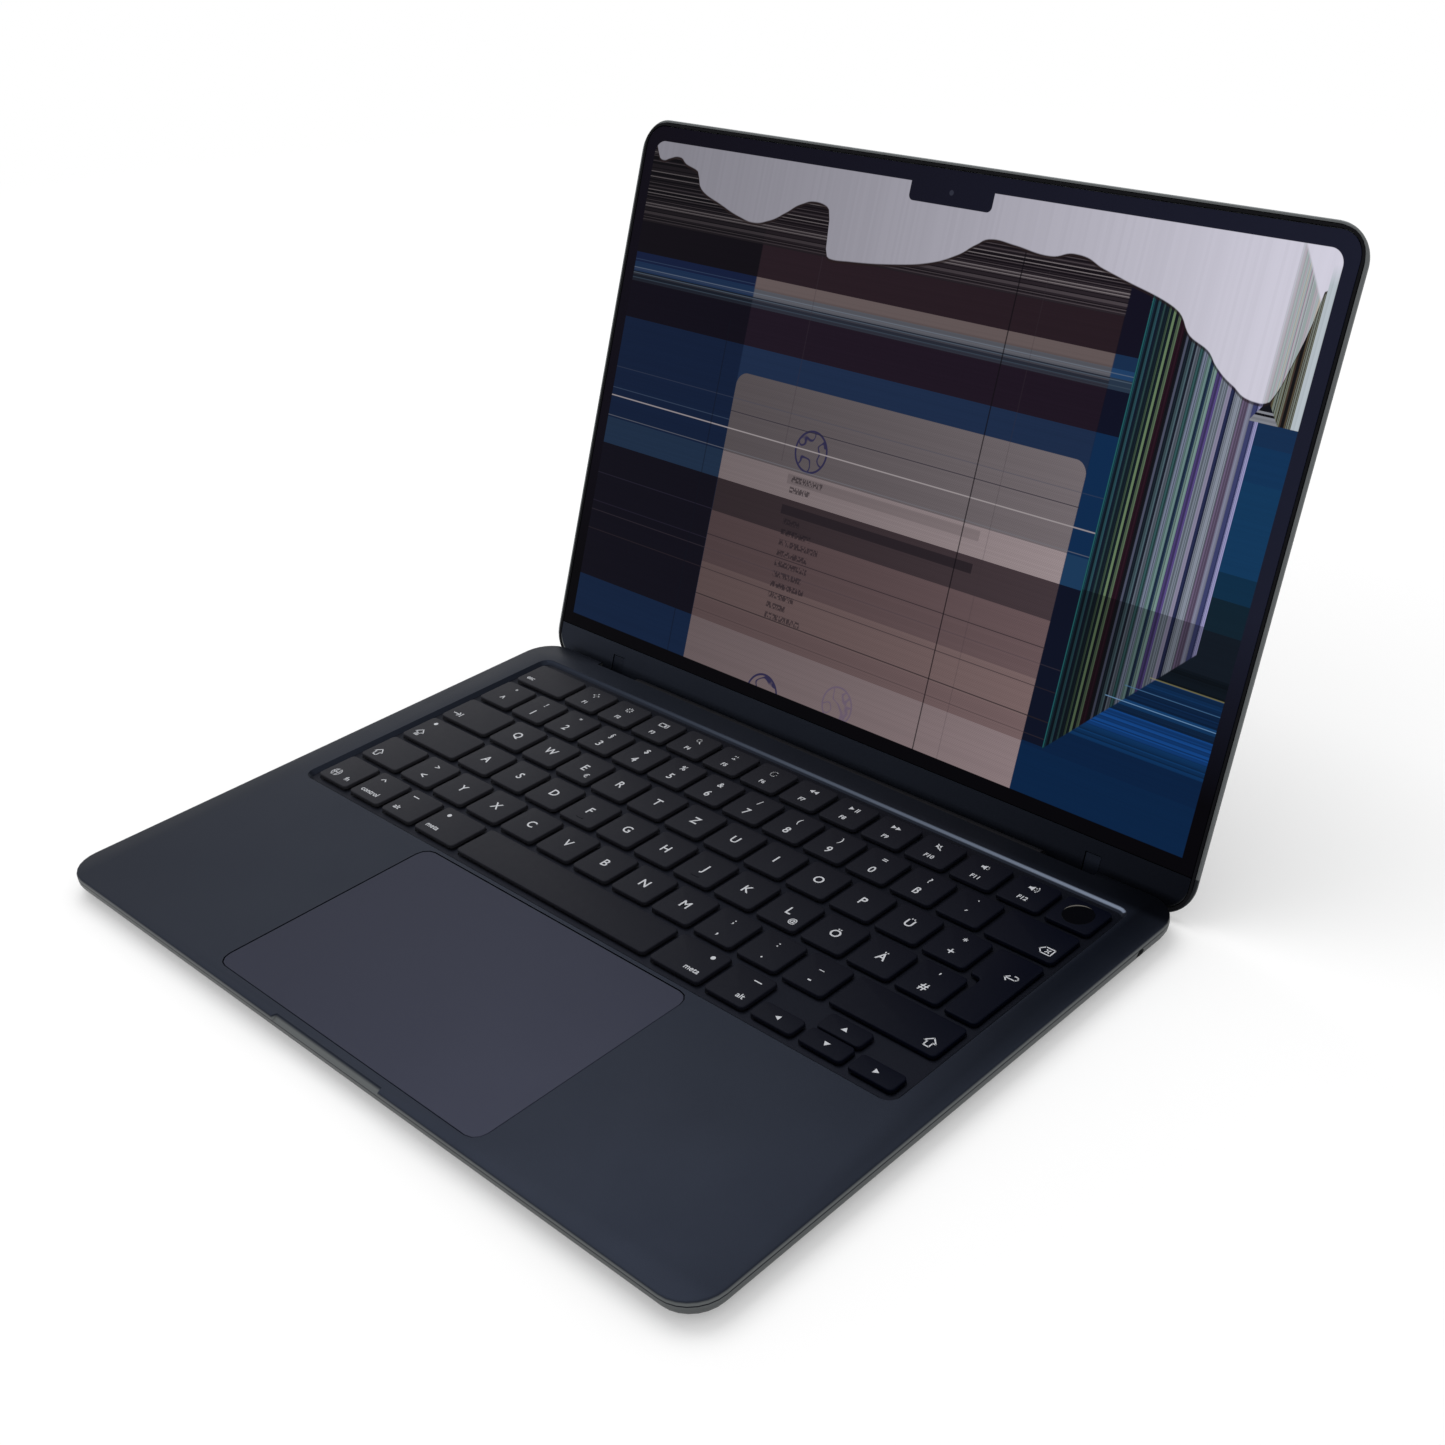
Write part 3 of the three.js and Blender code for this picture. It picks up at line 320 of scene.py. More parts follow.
front_face = reach("lid_back", lid_back)[0]
lid_walls = (front_face - 0.5, front_face + LID_WALL)
lid_metal, shader, where, dye_and_painted_light = dyed_aluminium(
    "lid_aluminium", "lid_back", lid_up, lid_back, lid_walls, LID_MARGIN
)
share = (where.along(ACROSS) + CASE_HALF) / (2 * CASE_HALF)
glass_low = reach("cover_glass", lid_up)[0]
chin = where.along(lid_up).within(glass_low - CHIN_HEIGHT, glass_low)
chin = chin * (1 - where.along(lid_back).above(front_face + 1))
# Painted shade on the chin, deeper towards the right.
feed(shader, "Base Color", (PAINTED_SHADE_STRENGTH * share * share * chin).mix(dye_and_painted_light, PAINTED_SHADE_COLOUR))

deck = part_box("upper_case")[1].z / MM
base_walls = (BASE_WALL_LOW, deck - 0.5)
base_metal, shader, where, dye_and_painted_light = dyed_aluminium(
    "base_aluminium", "upper_case", DEEP, HIGH, base_walls, BASE_MARGIN
)
across, depth, height = (where.along(way) for way in (ACROSS, DEEP, HIGH))
# Painted shade on the web between the keys.
dye_and_painted_light = height.within(deck - 1.9, deck - 1.5, 0.05).mix(dye_and_painted_light, WEB_PAINTED_SHADE)
well_half = reach("keyboard_plate", ACROSS)[1] + 2
well_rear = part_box("key_esc")[1].y / MM + WELL_PAST_KEYS
share = (across + well_half) / (2 * well_half)
# Painted shade on the strip behind the keys, deeper towards the right.
rear = height.above(deck - 0.5, 0.3) * depth.above(well_rear + 1.5, 3.0)
dye_and_painted_light = (PAINTED_SHADE_STRENGTH * share * share * rear).mix(dye_and_painted_light, PAINTED_SHADE_COLOUR)
# A painted highlight on the slope between keys and strip, brighter towards the right.
slope = height.within(deck - 0.85, deck - 0.15, 0.3) * depth.within(well_rear - 1.5, well_rear + 0.2)
slope = slope * across.within(-well_half, well_half, 2.0)
painted_highlight = (share * share).mix(SLOPE_HIGHLIGHT_LEFT, SLOPE_HIGHLIGHT_RIGHT)
feed(shader, "Base Color", slope.mix(dye_and_painted_light, painted_highlight))
print("made", base_metal.name, "and", lid_metal.name)

# %% [markdown]
# The small parts each have a plain industrial finish: matt moulded plastic, rubber, steel, copper,
# board lacquer and the foil of the battery pouches. One function makes them all, because they
# differ only in colour, gloss and the size of their grain. The caps of the keys are made beside
# them: painted light makes their black paler and neutral at the left, and painted shade turns it a
# deep blue at the right.


# %% Plain finishes
def plain(name, colour, roughness, metallic=0.0, specular=0.3, grain=900, depth=0.00002):
    """An even finish whose colour wavers a little and whose surface has a fine grain."""
    made, shader, wire = finish_of(name, colour, roughness, metallic, specular)
    darker = tuple(part * 0.82 for part in colour[:3]) + (1.0,)
    feed(shader, "Base Color", wire.noise(grain / 12, 3.0).mix(darker, colour))
    feed(shader, "Roughness", (roughness - 0.05) + 0.1 * wire.noise(grain / 5, 3.0))
    bump(shader, wire, wire.noise(grain, 2.0), depth)
    return made


cap_plastic, shader, wire = finish_of("cap_plastic", paint(10, 12, 20), 0.5, specular=0.045)
shader.inputs["Specular Tint"].default_value = (0.7, 0.8, 1, 1)
# Painted light and shade across the caps: paler at the left, darker and bluer at the right.
share = (wire.place().along(ACROSS) + 130) / 260
feed(shader, "Base Color", share.mix(paint(42, 42, 46), paint(2, 4, 16)))
feed(shader, "Roughness", 0.44 + 0.12 * wire.noise(520, 3.0))
bump(shader, wire, wire.noise(2600, 2.0), 0.00002)
legend_ink = plain("legend_ink", paint(196, 198, 203), 0.6, specular=0.2)
black_plastic = plain("black_plastic", paint(18, 18, 22), 0.5, specular=0.12)
gasket_rubber = plain("gasket_rubber", paint(14, 14, 18), 0.75, specular=0.08)
foot_rubber = plain("foot_rubber", paint(24, 25, 28), 0.85, specular=0.25)
hinge_black = plain("hinge_black", paint(27, 31, 41), 0.42, metallic=0.85, specular=0.15)
steel = plain("steel", paint(150, 152, 156), 0.32, metallic=1.0)
board_lacquer = plain("board_lacquer", paint(24, 58, 40), 0.5)
battery_foil = plain("battery_foil", paint(38, 39, 43), 0.6)
copper = plain("copper", paint(186, 120, 84), 0.35, metallic=1.0)
print("made", len(bpy.data.materials), "materials so far")

# %% [markdown]
# The trackpad is glass, etched on top and printed underneath in the colour of the housing. It is
# a touch smoother and bluer than the metal round it, which is all that tells them apart.

# %% Etched glass
trackpad_glass, shader, wire = finish_of("trackpad_glass", paint(42, 44, 56), 0.34, 0.6, 0.1, 0.6)
feed(shader, "Roughness", 0.28 + 0.1 * wire.noise(30, 4.0))
bump(shader, wire, wire.noise(5200, 1.0), 0.00001)
print("made", trackpad_glass.name)

# %% [markdown]
# Places in the picture are its millimetres across, from the middle, and down from its top edge.
# The cracked panel shows fields of colour that stop at sharp edges: rows that have lost their
# signal, a wide band of stuck columns, and a pale blot where the crystal has leaked. All of it is
# drawn in millimetres, as masks in the glowing colour of the glass. The outline of the blot is a
# curve through a few points, and the stripes are colour ramps with hard steps.

# %% The broken picture: places and colours
BLOT_EDGE = [
    (-144.8, 1), (-143, 4), (-139.5, 7.5), (-136, 6.5), (-131, 5.5), (-127, 7.5), (-120, 9.5),
    (-118, 14), (-114, 17), (-106, 19.5), (-94, 23), (-87, 24), (-80, 22.5), (-72, 18.5), (-65, 14.5),
    (-59, 13), (-53.5, 13.8), (-51.2, 17), (-50, 27), (-47.5, 31.3), (-38, 31), (-18, 29), (-4, 26.5),
    (8, 22), (15, 17.5), (21, 15), (30, 15.6), (45, 17), (54, 15), (66, 18), (75, 20.3), (90, 24),
    (96, 26.5), (102, 33), (109, 36), (113, 40), (120, 44.5), (130, 48), (132.5, 47.5), (134.8, 44),
    (137.4, 35), (139.4, 27), (140.8, 19), (141.6, 13), (144.8, 12),
]
BLOT = paint(158, 156, 167)
LEFT_ROWS = [
    (0, (12, 8, 16)), (42, (15, 26, 56)), (46.2, (24, 46, 78)), (49.8, (20, 26, 38)), (53.5, (11, 7, 20)),
    (67, (13, 27, 53)), (107, (26, 43, 66)), (117, (11, 9, 21)), (171, (14, 31, 58)),
]
MIDDLE_ROWS = [
    (0, (36, 24, 31)), (42, (96, 84, 84)), (46.5, (86, 88, 96)), (49.8, (38, 42, 54)),
    (53.5, (27, 17, 30)), (67, (25, 41, 69)),
]
SIDE_ROWS = [
    (0, (14, 12, 29)), (42, (20, 43, 74)), (46.5, (28, 60, 98)), (49.8, (36, 50, 68)), (53.5, (10, 13, 33)),
    (67, (9, 40, 75)), (107, (24, 55, 87)), (117, (8, 14, 33)), (171, (7, 35, 69)),
]
SHEET_ROWS = [
    (0, (93, 86, 89)), (107, (127, 115, 117)), (117, (53, 43, 47)), (130, (84, 68, 70)),
    (150, (98, 81, 81)), (163, (94, 77, 78)), (171, (113, 99, 101)),
]
RIGHT_ROWS = [
    (0, (18, 44, 77)), (60, (14, 49, 85)), (71, (14, 53, 88)), (99, (10, 43, 68)), (107, (12, 32, 45)),
    (117, (14, 22, 32)), (131, (6, 14, 22)), (137.5, (8, 40, 76)), (141, (5, 30, 60)),
    (146, (14, 54, 96)), (148.5, (6, 28, 54)), (150.5, (12, 56, 112)), (158, (6, 42, 80)),
    (163, (3, 30, 62)), (172, (3, 33, 66)),
]
COLUMNS = [
    (86, (22, 62, 70)), (86.8, (12, 24, 38)), (88, (34, 66, 74)), (89, (12, 22, 36)), (90.2, (40, 66, 68)),
    (91, (14, 26, 36)), (92.4, (60, 80, 62)), (93.2, (12, 22, 30)), (94.2, (84, 104, 76)),
    (95.2, (16, 20, 30)), (96.2, (88, 108, 84)), (97.2, (34, 14, 26)), (99.4, (14, 14, 22)),
    (100.6, (70, 74, 92)), (101.6, (18, 26, 38)), (102.8, (64, 84, 92)), (104, (20, 26, 38)),
    (105, (84, 92, 104)), (106.4, (40, 70, 72)), (107.8, (96, 104, 122)), (109.6, (92, 118, 116)),
    (111, (28, 44, 66)), (112.2, (104, 128, 124)), (113.8, (72, 60, 110)), (116, (102, 110, 122)),
    (118.8, (118, 114, 136)), (120, (34, 40, 74)), (121.4, (112, 118, 130)), (124.4, (92, 80, 104)),
    (126.8, (116, 118, 138)), (128.4, (50, 54, 92)), (130.2, (150, 148, 192)),
]
LEAF = [(0, (16, 16, 18)), (0.3, (58, 44, 40)), (0.55, (84, 80, 58)), (0.8, (112, 120, 112))]
FOLD = [
    (0, (164, 138, 152)), (0.18, (134, 150, 146)), (0.42, (150, 162, 162)), (0.66, (122, 142, 134)),
    (0.84, (168, 158, 134)), (0.93, (92, 80, 90)),
]
STREAKS = [(0, (10, 7, 13)), (0.4, (32, 27, 32)), (0.68, (62, 56, 60)), (0.86, (104, 98, 100))]
BLOT_HALF, BLOT_DEEPEST = 144.8, 60
STREAKS_FOOT, BAND_TOP, BAND_FOOT, LOWEST_ROWS = 31, 46.5, 53.5, 171
COLUMNS_LEFT, COLUMNS_RIGHT = 86, 131.5
COLUMNS_FOOT = 257.5
COLUMNS_DIM = 117
FOLD_LEFT, LEAF_LEFT, STRIP_LEFT = 131.6, 132.5, 142.2
SHEET_LEFT, SHEET_RIGHT, SHEET_TOP, SHEET_CORNER = -80, 77.5, 77.5, 5
NOTCH_WIDTH, NOTCH_DEPTH, NOTCH_CORNER = 35.6, 7.0, 2.0
LENS_DEPTH, LENS_RADIUS = 2.6, 0.9
ROW_GRAIN, COLUMN_GRAIN, LEAF_GRAIN, FOLD_GRAIN, STRIP_GRAIN = 3.1, 3.3, 4.1, 3.7, 2.6
FLICKER, FLICKER_GRAIN = (131, 163), 2.3
HATCH_LEFT, HATCH_POINT, HATCH_SLOPE, HATCH_GRAIN = 128.5, 133, 0.7, 1.4
TORN_RIGHT, TORN_SLOPE, STRIP_TOP = 142, 1.7, 8
WEAVE_ACROSS, WEAVE_DOWN = 7.3, 6.1
CORNER = 5.0
picture_low, picture_top = reach("display_panel", lid_up)
picture_height = picture_top - picture_low
picture_half = reach("display_panel", ACROSS)[1]
print("picture", round(2 * picture_half, 1), "by", round(picture_height, 1), "mm")


# %% The broken picture: helpers
def steps(value, fields, low=0, high=1):
    """A ramp with hard steps: each field of colour starts at its own place between low and high."""
    span = high - low
    stops = [(max(place - low, 0) / span, paint(*shade)) for place, shade in fields]
    share = (value - low) / span
    return value.node("ValToRGB", {"stops": stops, "spread": "CONSTANT"}, {0: share})


def rows(fields):
    """Fields of colour down the picture."""
    return steps(y, fields, high=picture_height)


def globe(land, place, radius, width):
    """A ring with the shores of some land in it, where the noise called land crosses a level."""
    far = x.away(*place, y)
    rim = far.within(radius - width / 2, radius + width / 2)
    shore = land.within(0.5, 0.545, 0.02) * (1 - far.above(radius))
    return rim.math("MAXIMUM", rim, shore)


# %% The broken picture: material
screen, shader, wire = finish_of("screen_glass", paint(10, 7, 14), 0.1, 0.0, 0.02)
where = wire.place()
x = where.along(ACROSS)
y = picture_top - where.along(lid_up)
gain = 1 + x * (0.0042 + 0.000013 * x)

curve_points = [
    ((place + BLOT_HALF) / (2 * BLOT_HALF), depth / BLOT_DEEPEST) for place, depth in BLOT_EDGE
]
share = (x + BLOT_HALF) / (2 * BLOT_HALF)
edge = wire.node("FloatCurve", {"points": curve_points}, {"Value": share}) * BLOT_DEEPEST
below_blot = y.above(edge, 0.4)

row_grain = (y * ROW_GRAIN).cells()
field = x.within(SHEET_LEFT, SHEET_RIGHT, 0.6).mix(rows(LEFT_ROWS), rows(MIDDLE_ROWS))
sheet = rounded_box(x, y, SHEET_LEFT, SHEET_RIGHT, SHEET_TOP, 2 * picture_height, SHEET_CORNER)
weave = x.math("SINE", x * WEAVE_ACROSS) * y.math("SINE", y * WEAVE_DOWN)
sheet_colour = (gain * (1 + 0.12 * weave)).dim(rows(SHEET_ROWS))
field = sheet.mix(field, sheet_colour)
streaks = gain.dim(steps(row_grain, STREAKS))
streaked = 0.85 * (1 - y.above(STREAKS_FOOT)) + 0.15 * y.within(BAND_TOP, BAND_FOOT + 0.5)
field = streaked.mix(field, streaks)
field = (0.96 + 0.08 * row_grain).dim(field)
print("rows of the picture are in place")

# %% The broken picture: what stands on the sheet
INK = paint(43, 40, 70)
FADED_INK = paint(84, 70, 106)
TEXT_INK = paint(30, 24, 30)
TEXT_LEFT, TEXT_TOP, ROW_STEP = -44, 108.3, 3.92
TEXT_ROWS = [(TEXT_TOP, 116.2), (124, 163)]
GLOBES = [
    ((-37.5, 99), 7.4, 0.8, 1, INK), ((-37.5, 190.5), 7.4, 0.8, 1, INK),
    ((-1.5, 184), 6.8, 0.7, 0.45, FADED_INK),
]
ENTRY_SIDES = (-46, 42.5)
ENTRIES = [(108.6, 112.2, 0.25), (120, 123.4, 0.8)]
LETTERS_ACROSS, LETTERS_DOWN = 2.1, 1.53

land = wire.noise(130, 1.0)
for place, radius, width, strength, shade in GLOBES:
    field = (strength * globe(land, place, radius, width)).mix(field, shade)
for start, stop, strength in ENTRIES:
    entry = x.within(*ENTRY_SIDES) * y.within(start, stop)
    field = (strength * entry).mix(field, TEXT_INK)
row = (y - TEXT_TOP) / ROW_STEP
row_height = row.math("FRACT", row)
word_end = TEXT_LEFT + 8 + 12 * row.cells()
letters = (x * LETTERS_ACROSS).speckle(y * LETTERS_DOWN).above(0.4, 0.1)
words = row_height.within(0.2, 0.76, 0.1) * x.within(TEXT_LEFT, word_end, 0.3) * letters
listed = y.within(*TEXT_ROWS[0]) + y.within(*TEXT_ROWS[1])
field = (0.7 * words * listed).mix(field, TEXT_INK)
print("sheet has", len(GLOBES), "globes,", len(ENTRIES), "entry lines and a list")

# %% The broken picture: stuck columns, blot and thin lines
column = steps(x, COLUMNS, COLUMNS_LEFT, COLUMNS_RIGHT)
column_grain = (x * COLUMN_GRAIN).cells()
column = ((0.5 + 1.0 * column_grain) * (1 - 0.48 * y.above(COLUMNS_DIM))).dim(column)
flicker = (0.06 + 0.7 * y.within(*FLICKER)) * ((y * FLICKER_GRAIN).cells() - 0.5)
right = (1 + flicker).dim(rows(RIGHT_ROWS))
field = x.within(SHEET_RIGHT, COLUMNS_LEFT, 0.5).mix(field, rows(SIDE_ROWS))
field = x.above(COLUMNS_LEFT, 0.3).mix(field, right)
field = (x.above(SHEET_RIGHT) * y.above(LOWEST_ROWS)).mix(field, right)
foot = 1 - (x + y).above(COLUMNS_FOOT, 0.5)
field = (x.within(COLUMNS_LEFT, COLUMNS_RIGHT) * foot).mix(field, column)

LINES_ACROSS = [
    (98.7, -145, 86, 0.45, (158, 150, 152), 0.8), (95.6, -145, -80, 0.3, (60, 74, 96), 0.6),
    (106.6, -145, 86, 0.3, (110, 112, 120), 0.5), (92.2, -80, 78, 0.3, (34, 32, 44), 0.8),
    (87.4, -145, 86, 0.3, (60, 66, 84), 0.4), (139.4, -80, 78, 0.3, (34, 28, 34), 0.8),
    (152.4, -145, 86, 0.3, (40, 32, 38), 0.7), (162.6, -80, 86, 0.4, (34, 28, 32), 0.8),
    (168.4, -80, 86, 0.3, (52, 42, 44), 0.5), (144.8, -145, 86, 0.3, (60, 52, 60), 0.4),
    (129.8, -145, -80, 0.3, (40, 36, 52), 0.6), (141.2, -145, -80, 0.3, (36, 32, 48), 0.6),
    (50.6, -145, 86, 0.3, (84, 98, 112), 0.6), (48.6, -145, 86, 0.3, (104, 116, 130), 0.5),
    (45.4, -145, -80, 0.3, (50, 66, 92), 0.6), (52.4, -145, 86, 0.3, (60, 74, 88), 0.6),
    (147.3, 104, 145, 0.3, (110, 150, 190), 0.7), (142.2, 110, 145, 0.3, (70, 110, 150), 0.6),
    (137.4, 118, 145, 0.4, (140, 134, 90), 0.5),
]
LINES_DOWN = [
    (35.2, 15, 190, 0.5, (12, 8, 14), 0.8), (46, 15, 190, 0.3, (50, 42, 48), 0.3),
    (-89, 60, 190, 0.5, (8, 12, 24), 0.5), (-50.5, 31, 105, 0.4, (50, 42, 50), 0.3),
    (86.2, 22, 171, 0.4, (32, 96, 98), 0.7),
]
for along, off, lines in ((x, y, LINES_ACROSS), (y, x, LINES_DOWN)):
    for place, start, stop, width, shade, strength in lines:
        mark = along.within(start, stop, 0.3) * off.within(place - width / 2, place + width / 2)
        field = (strength * mark).mix(field, paint(*shade))

pale = (gain * (1.02 - 0.05 * (x * 0.9).cells())).dim(BLOT)
above_foot = 1 - y.above(BAND_FOOT)
leaf = steps((x * LEAF_GRAIN).cells(), LEAF)
field = (x.above(LEAF_LEFT, 0.4) * above_foot).mix(field, leaf)
hatch = 1 - x.math("ABSOLUTE", x - HATCH_POINT).above((y - BAND_TOP) * HATCH_SLOPE)
hatched = (y * HATCH_GRAIN).cells().above(0.55).mix(paint(14, 14, 22), paint(128, 130, 138))
field = (x.above(HATCH_LEFT) * y.above(BAND_TOP) * above_foot * hatch).mix(field, hatched)
rim = (1 - (y - edge).above(0.9, 0.4)) * below_blot
field = (0.7 * rim).mix(field, paint(34, 24, 24))
torn = x.above(FOLD_LEFT, 1.6) * (1 - x.above(TORN_RIGHT, 0.6))
torn = torn * y.above((x - COLUMNS_RIGHT) * TORN_SLOPE, 1.5)
fold = steps((x * FOLD_GRAIN).cells(), FOLD)
field = below_blot.mix((0.75 * torn).mix(pale, fold), field)
strip = x.above(STRIP_LEFT) * y.above(STRIP_TOP, 6.0) * above_foot
field = strip.mix(field, (1.35 + 0.2 * (x * STRIP_GRAIN).cells()).dim(paint(150, 158, 164)))
print(len(LINES_ACROSS + LINES_DOWN), "thin lines cross the picture")

# %% [markdown]
# The picture has two round corners at the top and a notch for the camera. Outside it the glass is
# printed blue-black and does not glow, save for the lens of the camera, which glows faintly grey as
# a painted reflection. Painted light makes the print paler towards the right, and painted shade
# darkens it towards the bottom.

# %% The broken picture: border and camera
lit = rounded_box(x, y, -picture_half, picture_half, 0.6, 2 * picture_height, CORNER)
lit = lit * (1 - y.above(picture_height))
notch_edge = NOTCH_WIDTH / 2
notch = rounded_box(x, y, -notch_edge, notch_edge, -NOTCH_DEPTH, NOTCH_DEPTH, NOTCH_CORNER)
lit = lit * (1 - notch)
# The lens of the camera glows faintly grey: a painted reflection.
lens = 1 - x.away(0, LENS_DEPTH, y).above(LENS_RADIUS)
glow = lens.mix(lit.dim(field), paint(38, 40, 48))
feed(shader, "Emission Color", glow)
# Painted light on the printed border: paler towards the right; painted shade towards the bottom.
printed_border_and_painted_light = ((x + CASE_HALF) / (2 * CASE_HALF)).mix(paint(15, 11, 23), paint(31, 33, 50))
printed_border_and_painted_light = ((y - 110) / 60).mix(printed_border_and_painted_light, paint(3, 1, 8))
feed(shader, "Base Color", lit.mix(printed_border_and_painted_light, paint(2, 2, 3)))
feed(shader, "Roughness", 0.08 + 0.06 * wire.noise(24, 4.0))
shader.inputs["Emission Strength"].default_value = 1.0
print("the screen takes", len(screen.node_tree.nodes), "nodes")

# %% [markdown]
# The model's nodes keep their shape. Their facets are drawn together where they meet gently and
# stay crisp at real edges: a small node group merges the corners, marks edges that turn by more
# than a limit as sharp, and smooths the rest.

# %% Smooth by angle
SHARP_TURN = math.radians(32)


def smoothing_group():
    """Geometry nodes: merge by distance, then smooth every face and sharpen the steep edges."""
    group = bpy.data.node_groups.new("smooth_gentle_turns", "GeometryNodeTree")
    group.interface.new_socket("Geometry", in_out="INPUT", socket_type="NodeSocketGeometry")
    group.interface.new_socket("Geometry", in_out="OUTPUT", socket_type="NodeSocketGeometry")
    add = group.nodes.new
    start, end = add("NodeGroupInput"), add("NodeGroupOutput")
    weld, angle = add("GeometryNodeMergeByDistance"), add("GeometryNodeInputMeshEdgeAngle")
    weld.inputs["Distance"].default_value = 0.000005
    gentle = add("FunctionNodeCompare")
    gentle.operation = "LESS_THAN"
    gentle.inputs[1].default_value = SHARP_TURN
    faces, edges = add("GeometryNodeSetShadeSmooth"), add("GeometryNodeSetShadeSmooth")
    edges.domain = "EDGE"
    link = group.links.new
    link(start.outputs[0], weld.inputs["Geometry"])
    link(weld.outputs[0], faces.inputs["Geometry"])
    link(faces.outputs[0], edges.inputs["Geometry"])
    link(angle.outputs["Unsigned Angle"], gentle.inputs[0])
    link(gentle.outputs[0], edges.inputs["Shade Smooth"])
    link(edges.outputs[0], end.inputs[0])
    return group


smoothing = smoothing_group()


def smooth(piece):
    piece.modifiers.new("smooth", "NODES").node_group = smoothing


def dress(material, *names):
    """Gives nodes of the model a material and the smoothing."""
    for name in names:
        node = frame["nodes"][name]
        node.data.materials.clear()
        node.data.materials.append(material)
        smooth(node)


feet = [name for name in frame["nodes"] if name.startswith("foot_")]
dress(base_metal, "upper_case", "bottom_cover")
dress(lid_metal, "lid_back")
dress(foot_rubber, *feet)
dress(trackpad_glass, "trackpad_glass")
dress(screen, "cover_glass")
dress(gasket_rubber, "display_gasket")
dress(black_plastic, "antenna_cover", "speaker_left", "speaker_right", "audio_jack")
dress(black_plastic, "camera_module", "display_panel")
dress(steel, "trackpad_tray", "charge_socket", "data_sockets")
dress(hinge_black, "hinge_barrel_left", "hinge_barrel_right", "hinge_arm_left", "hinge_arm_right")
dress(board_lacquer, "logic_board", "display_driver_board")
dress(battery_foil, "battery_left", "battery_right")
dress(copper, "heat_spreader")
print("dressed the housing, lid and inner parts")

# %% [markdown]
# Each key cap is moulded in one piece: straight sides, a small round edge and a flat top. It is
# made of rings. A ring is the outline of the cap, moved inwards and up along the round edge, and
# neighbouring rings are joined by faces. Below the cap stands the stem that guides it.


# %% Rings and prisms
def outline(corners, inset, radius, count=7):
    """A right-angled outline with its sides moved in by inset and its corners turned into arcs:
    corner + r (1 - sin t) towards the last corner + r (1 - cos t) towards the next one."""
    corners = np.asarray(corners, float)
    back = np.roll(corners, 1, 0) - corners
    ahead = np.roll(corners, -1, 0) - corners
    back /= np.linalg.norm(back, axis=1, keepdims=True)
    ahead /= np.linalg.norm(ahead, axis=1, keepdims=True)
    inwards = np.stack([back[:, 1] - ahead[:, 1], ahead[:, 0] - back[:, 0]], 1)
    turn = np.linspace(0, math.pi / 2, count)
    rise, run = radius * (1 - np.sin(turn)), radius * (1 - np.cos(turn))
    moved = corners + inset * inwards
    arcs = moved[:, None] + back[:, None] * rise[:, None] + ahead[:, None] * run[:, None]
    return arcs.reshape(-1, 2)


def joined(rings, first=0):
    """Corners and faces of a closed solid through rings of equally many points, bottom to top."""
    rings = np.asarray(rings, float)
    levels, points = rings.shape[:2]
    start = np.arange(levels - 1)[:, None] * points + np.arange(points)
    after = np.arange(levels - 1)[:, None] * points + np.roll(np.arange(points), -1)
    quads = np.stack([start, after, after + points, start + points], -1).reshape(-1, 4) + first
    floor = (np.arange(points)[::-1] + first).tolist()
    roof = (np.arange(points) + (levels - 1) * points + first).tolist()
    return rings.reshape(-1, 3), quads.tolist() + [floor, roof]


def lifted(flat, height):
    """A flat outline at one height."""
    return np.column_stack([flat, np.full(len(flat), float(height))])


def prism(flat, low, high):
    return joined([lifted(flat, low), lifted(flat, high)])


def box(left, right, front, rear):
    return [(left, front), (right, front), (right, rear), (left, rear)]


def build(name, solids, material, body):
    """One piece from several closed solids, placed in its mesh, riding on a body."""
    points, faces, first = [], [], 0
    for corners, sides in solids:
        points.append(corners)
        faces += [[corner + first for corner in side] for side in sides]
        first += len(corners)
    mesh = bpy.data.meshes.new(name)
    mesh.from_pydata((np.concatenate(points) * MM).tolist(), [], faces)
    mesh.materials.append(material)
    made = put(name, mesh)
    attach(made, body)
    return made


def moulded(name, solids, material, body):
    """The same, with its gentle turns drawn together."""
    made = build(name, solids, material, body)
    made.data.shade_smooth()
    smooth(made)
    return made


# %% [markdown]
# The wall of the lid keeps its thickness round the corners, where the recess for the glass comes
# closest to the outside. Each corner is a sweep: the section of the wall, with the round outer edge
# of the lid, turns through a quarter circle.

# %% Corners of the lid
LID_EDGE = 3.0
LID_BEVEL = 0.3
WALL_THICKNESS = 0.9
WALL_GIVE = 0.02
WALL_TURN = math.asin(0.77)


def lid_corner(side, end):
    """Stations of the section along an arc: centre + (CASE_CORNER - inset) (cos t, sin t), where the
    outer edge has inset = LID_EDGE - e cos a and height = back - LID_EDGE + e sin a."""
    front, back = reach("lid_back", lid_back)
    low, high = reach("lid_back", lid_up)
    half = reach("lid_back", ACROSS)[1]
    edge, rise = LID_EDGE - WALL_GIVE, np.linspace(0, WALL_TURN, 6)
    insets = LID_EDGE - edge * np.cos(rise)
    insets = np.concatenate([[LID_BEVEL + WALL_GIVE, WALL_GIVE], insets, [WALL_THICKNESS] * 2])
    heights = back - LID_EDGE + edge * np.sin(rise)
    heights = np.concatenate([[front + 0.01, front + LID_BEVEL], heights, [heights[-1], front + 0.01]])
    start = {(1, 1): 0, (-1, 1): 90, (-1, -1): 180, (1, -1): 270}[side, end]
    turn = np.radians(np.linspace(start, start + 90, 17))[:, None]
    across = side * (half - CASE_CORNER) + np.cos(turn) * (CASE_CORNER - insets)
    up = (low + high + end * (high - low)) / 2 - end * CASE_CORNER + np.sin(turn) * (CASE_CORNER - insets)
    rings = across[..., None] * np.array(ACROSS) + up[..., None] * lid_up
    return joined(rings + heights[:, None] * lid_back)


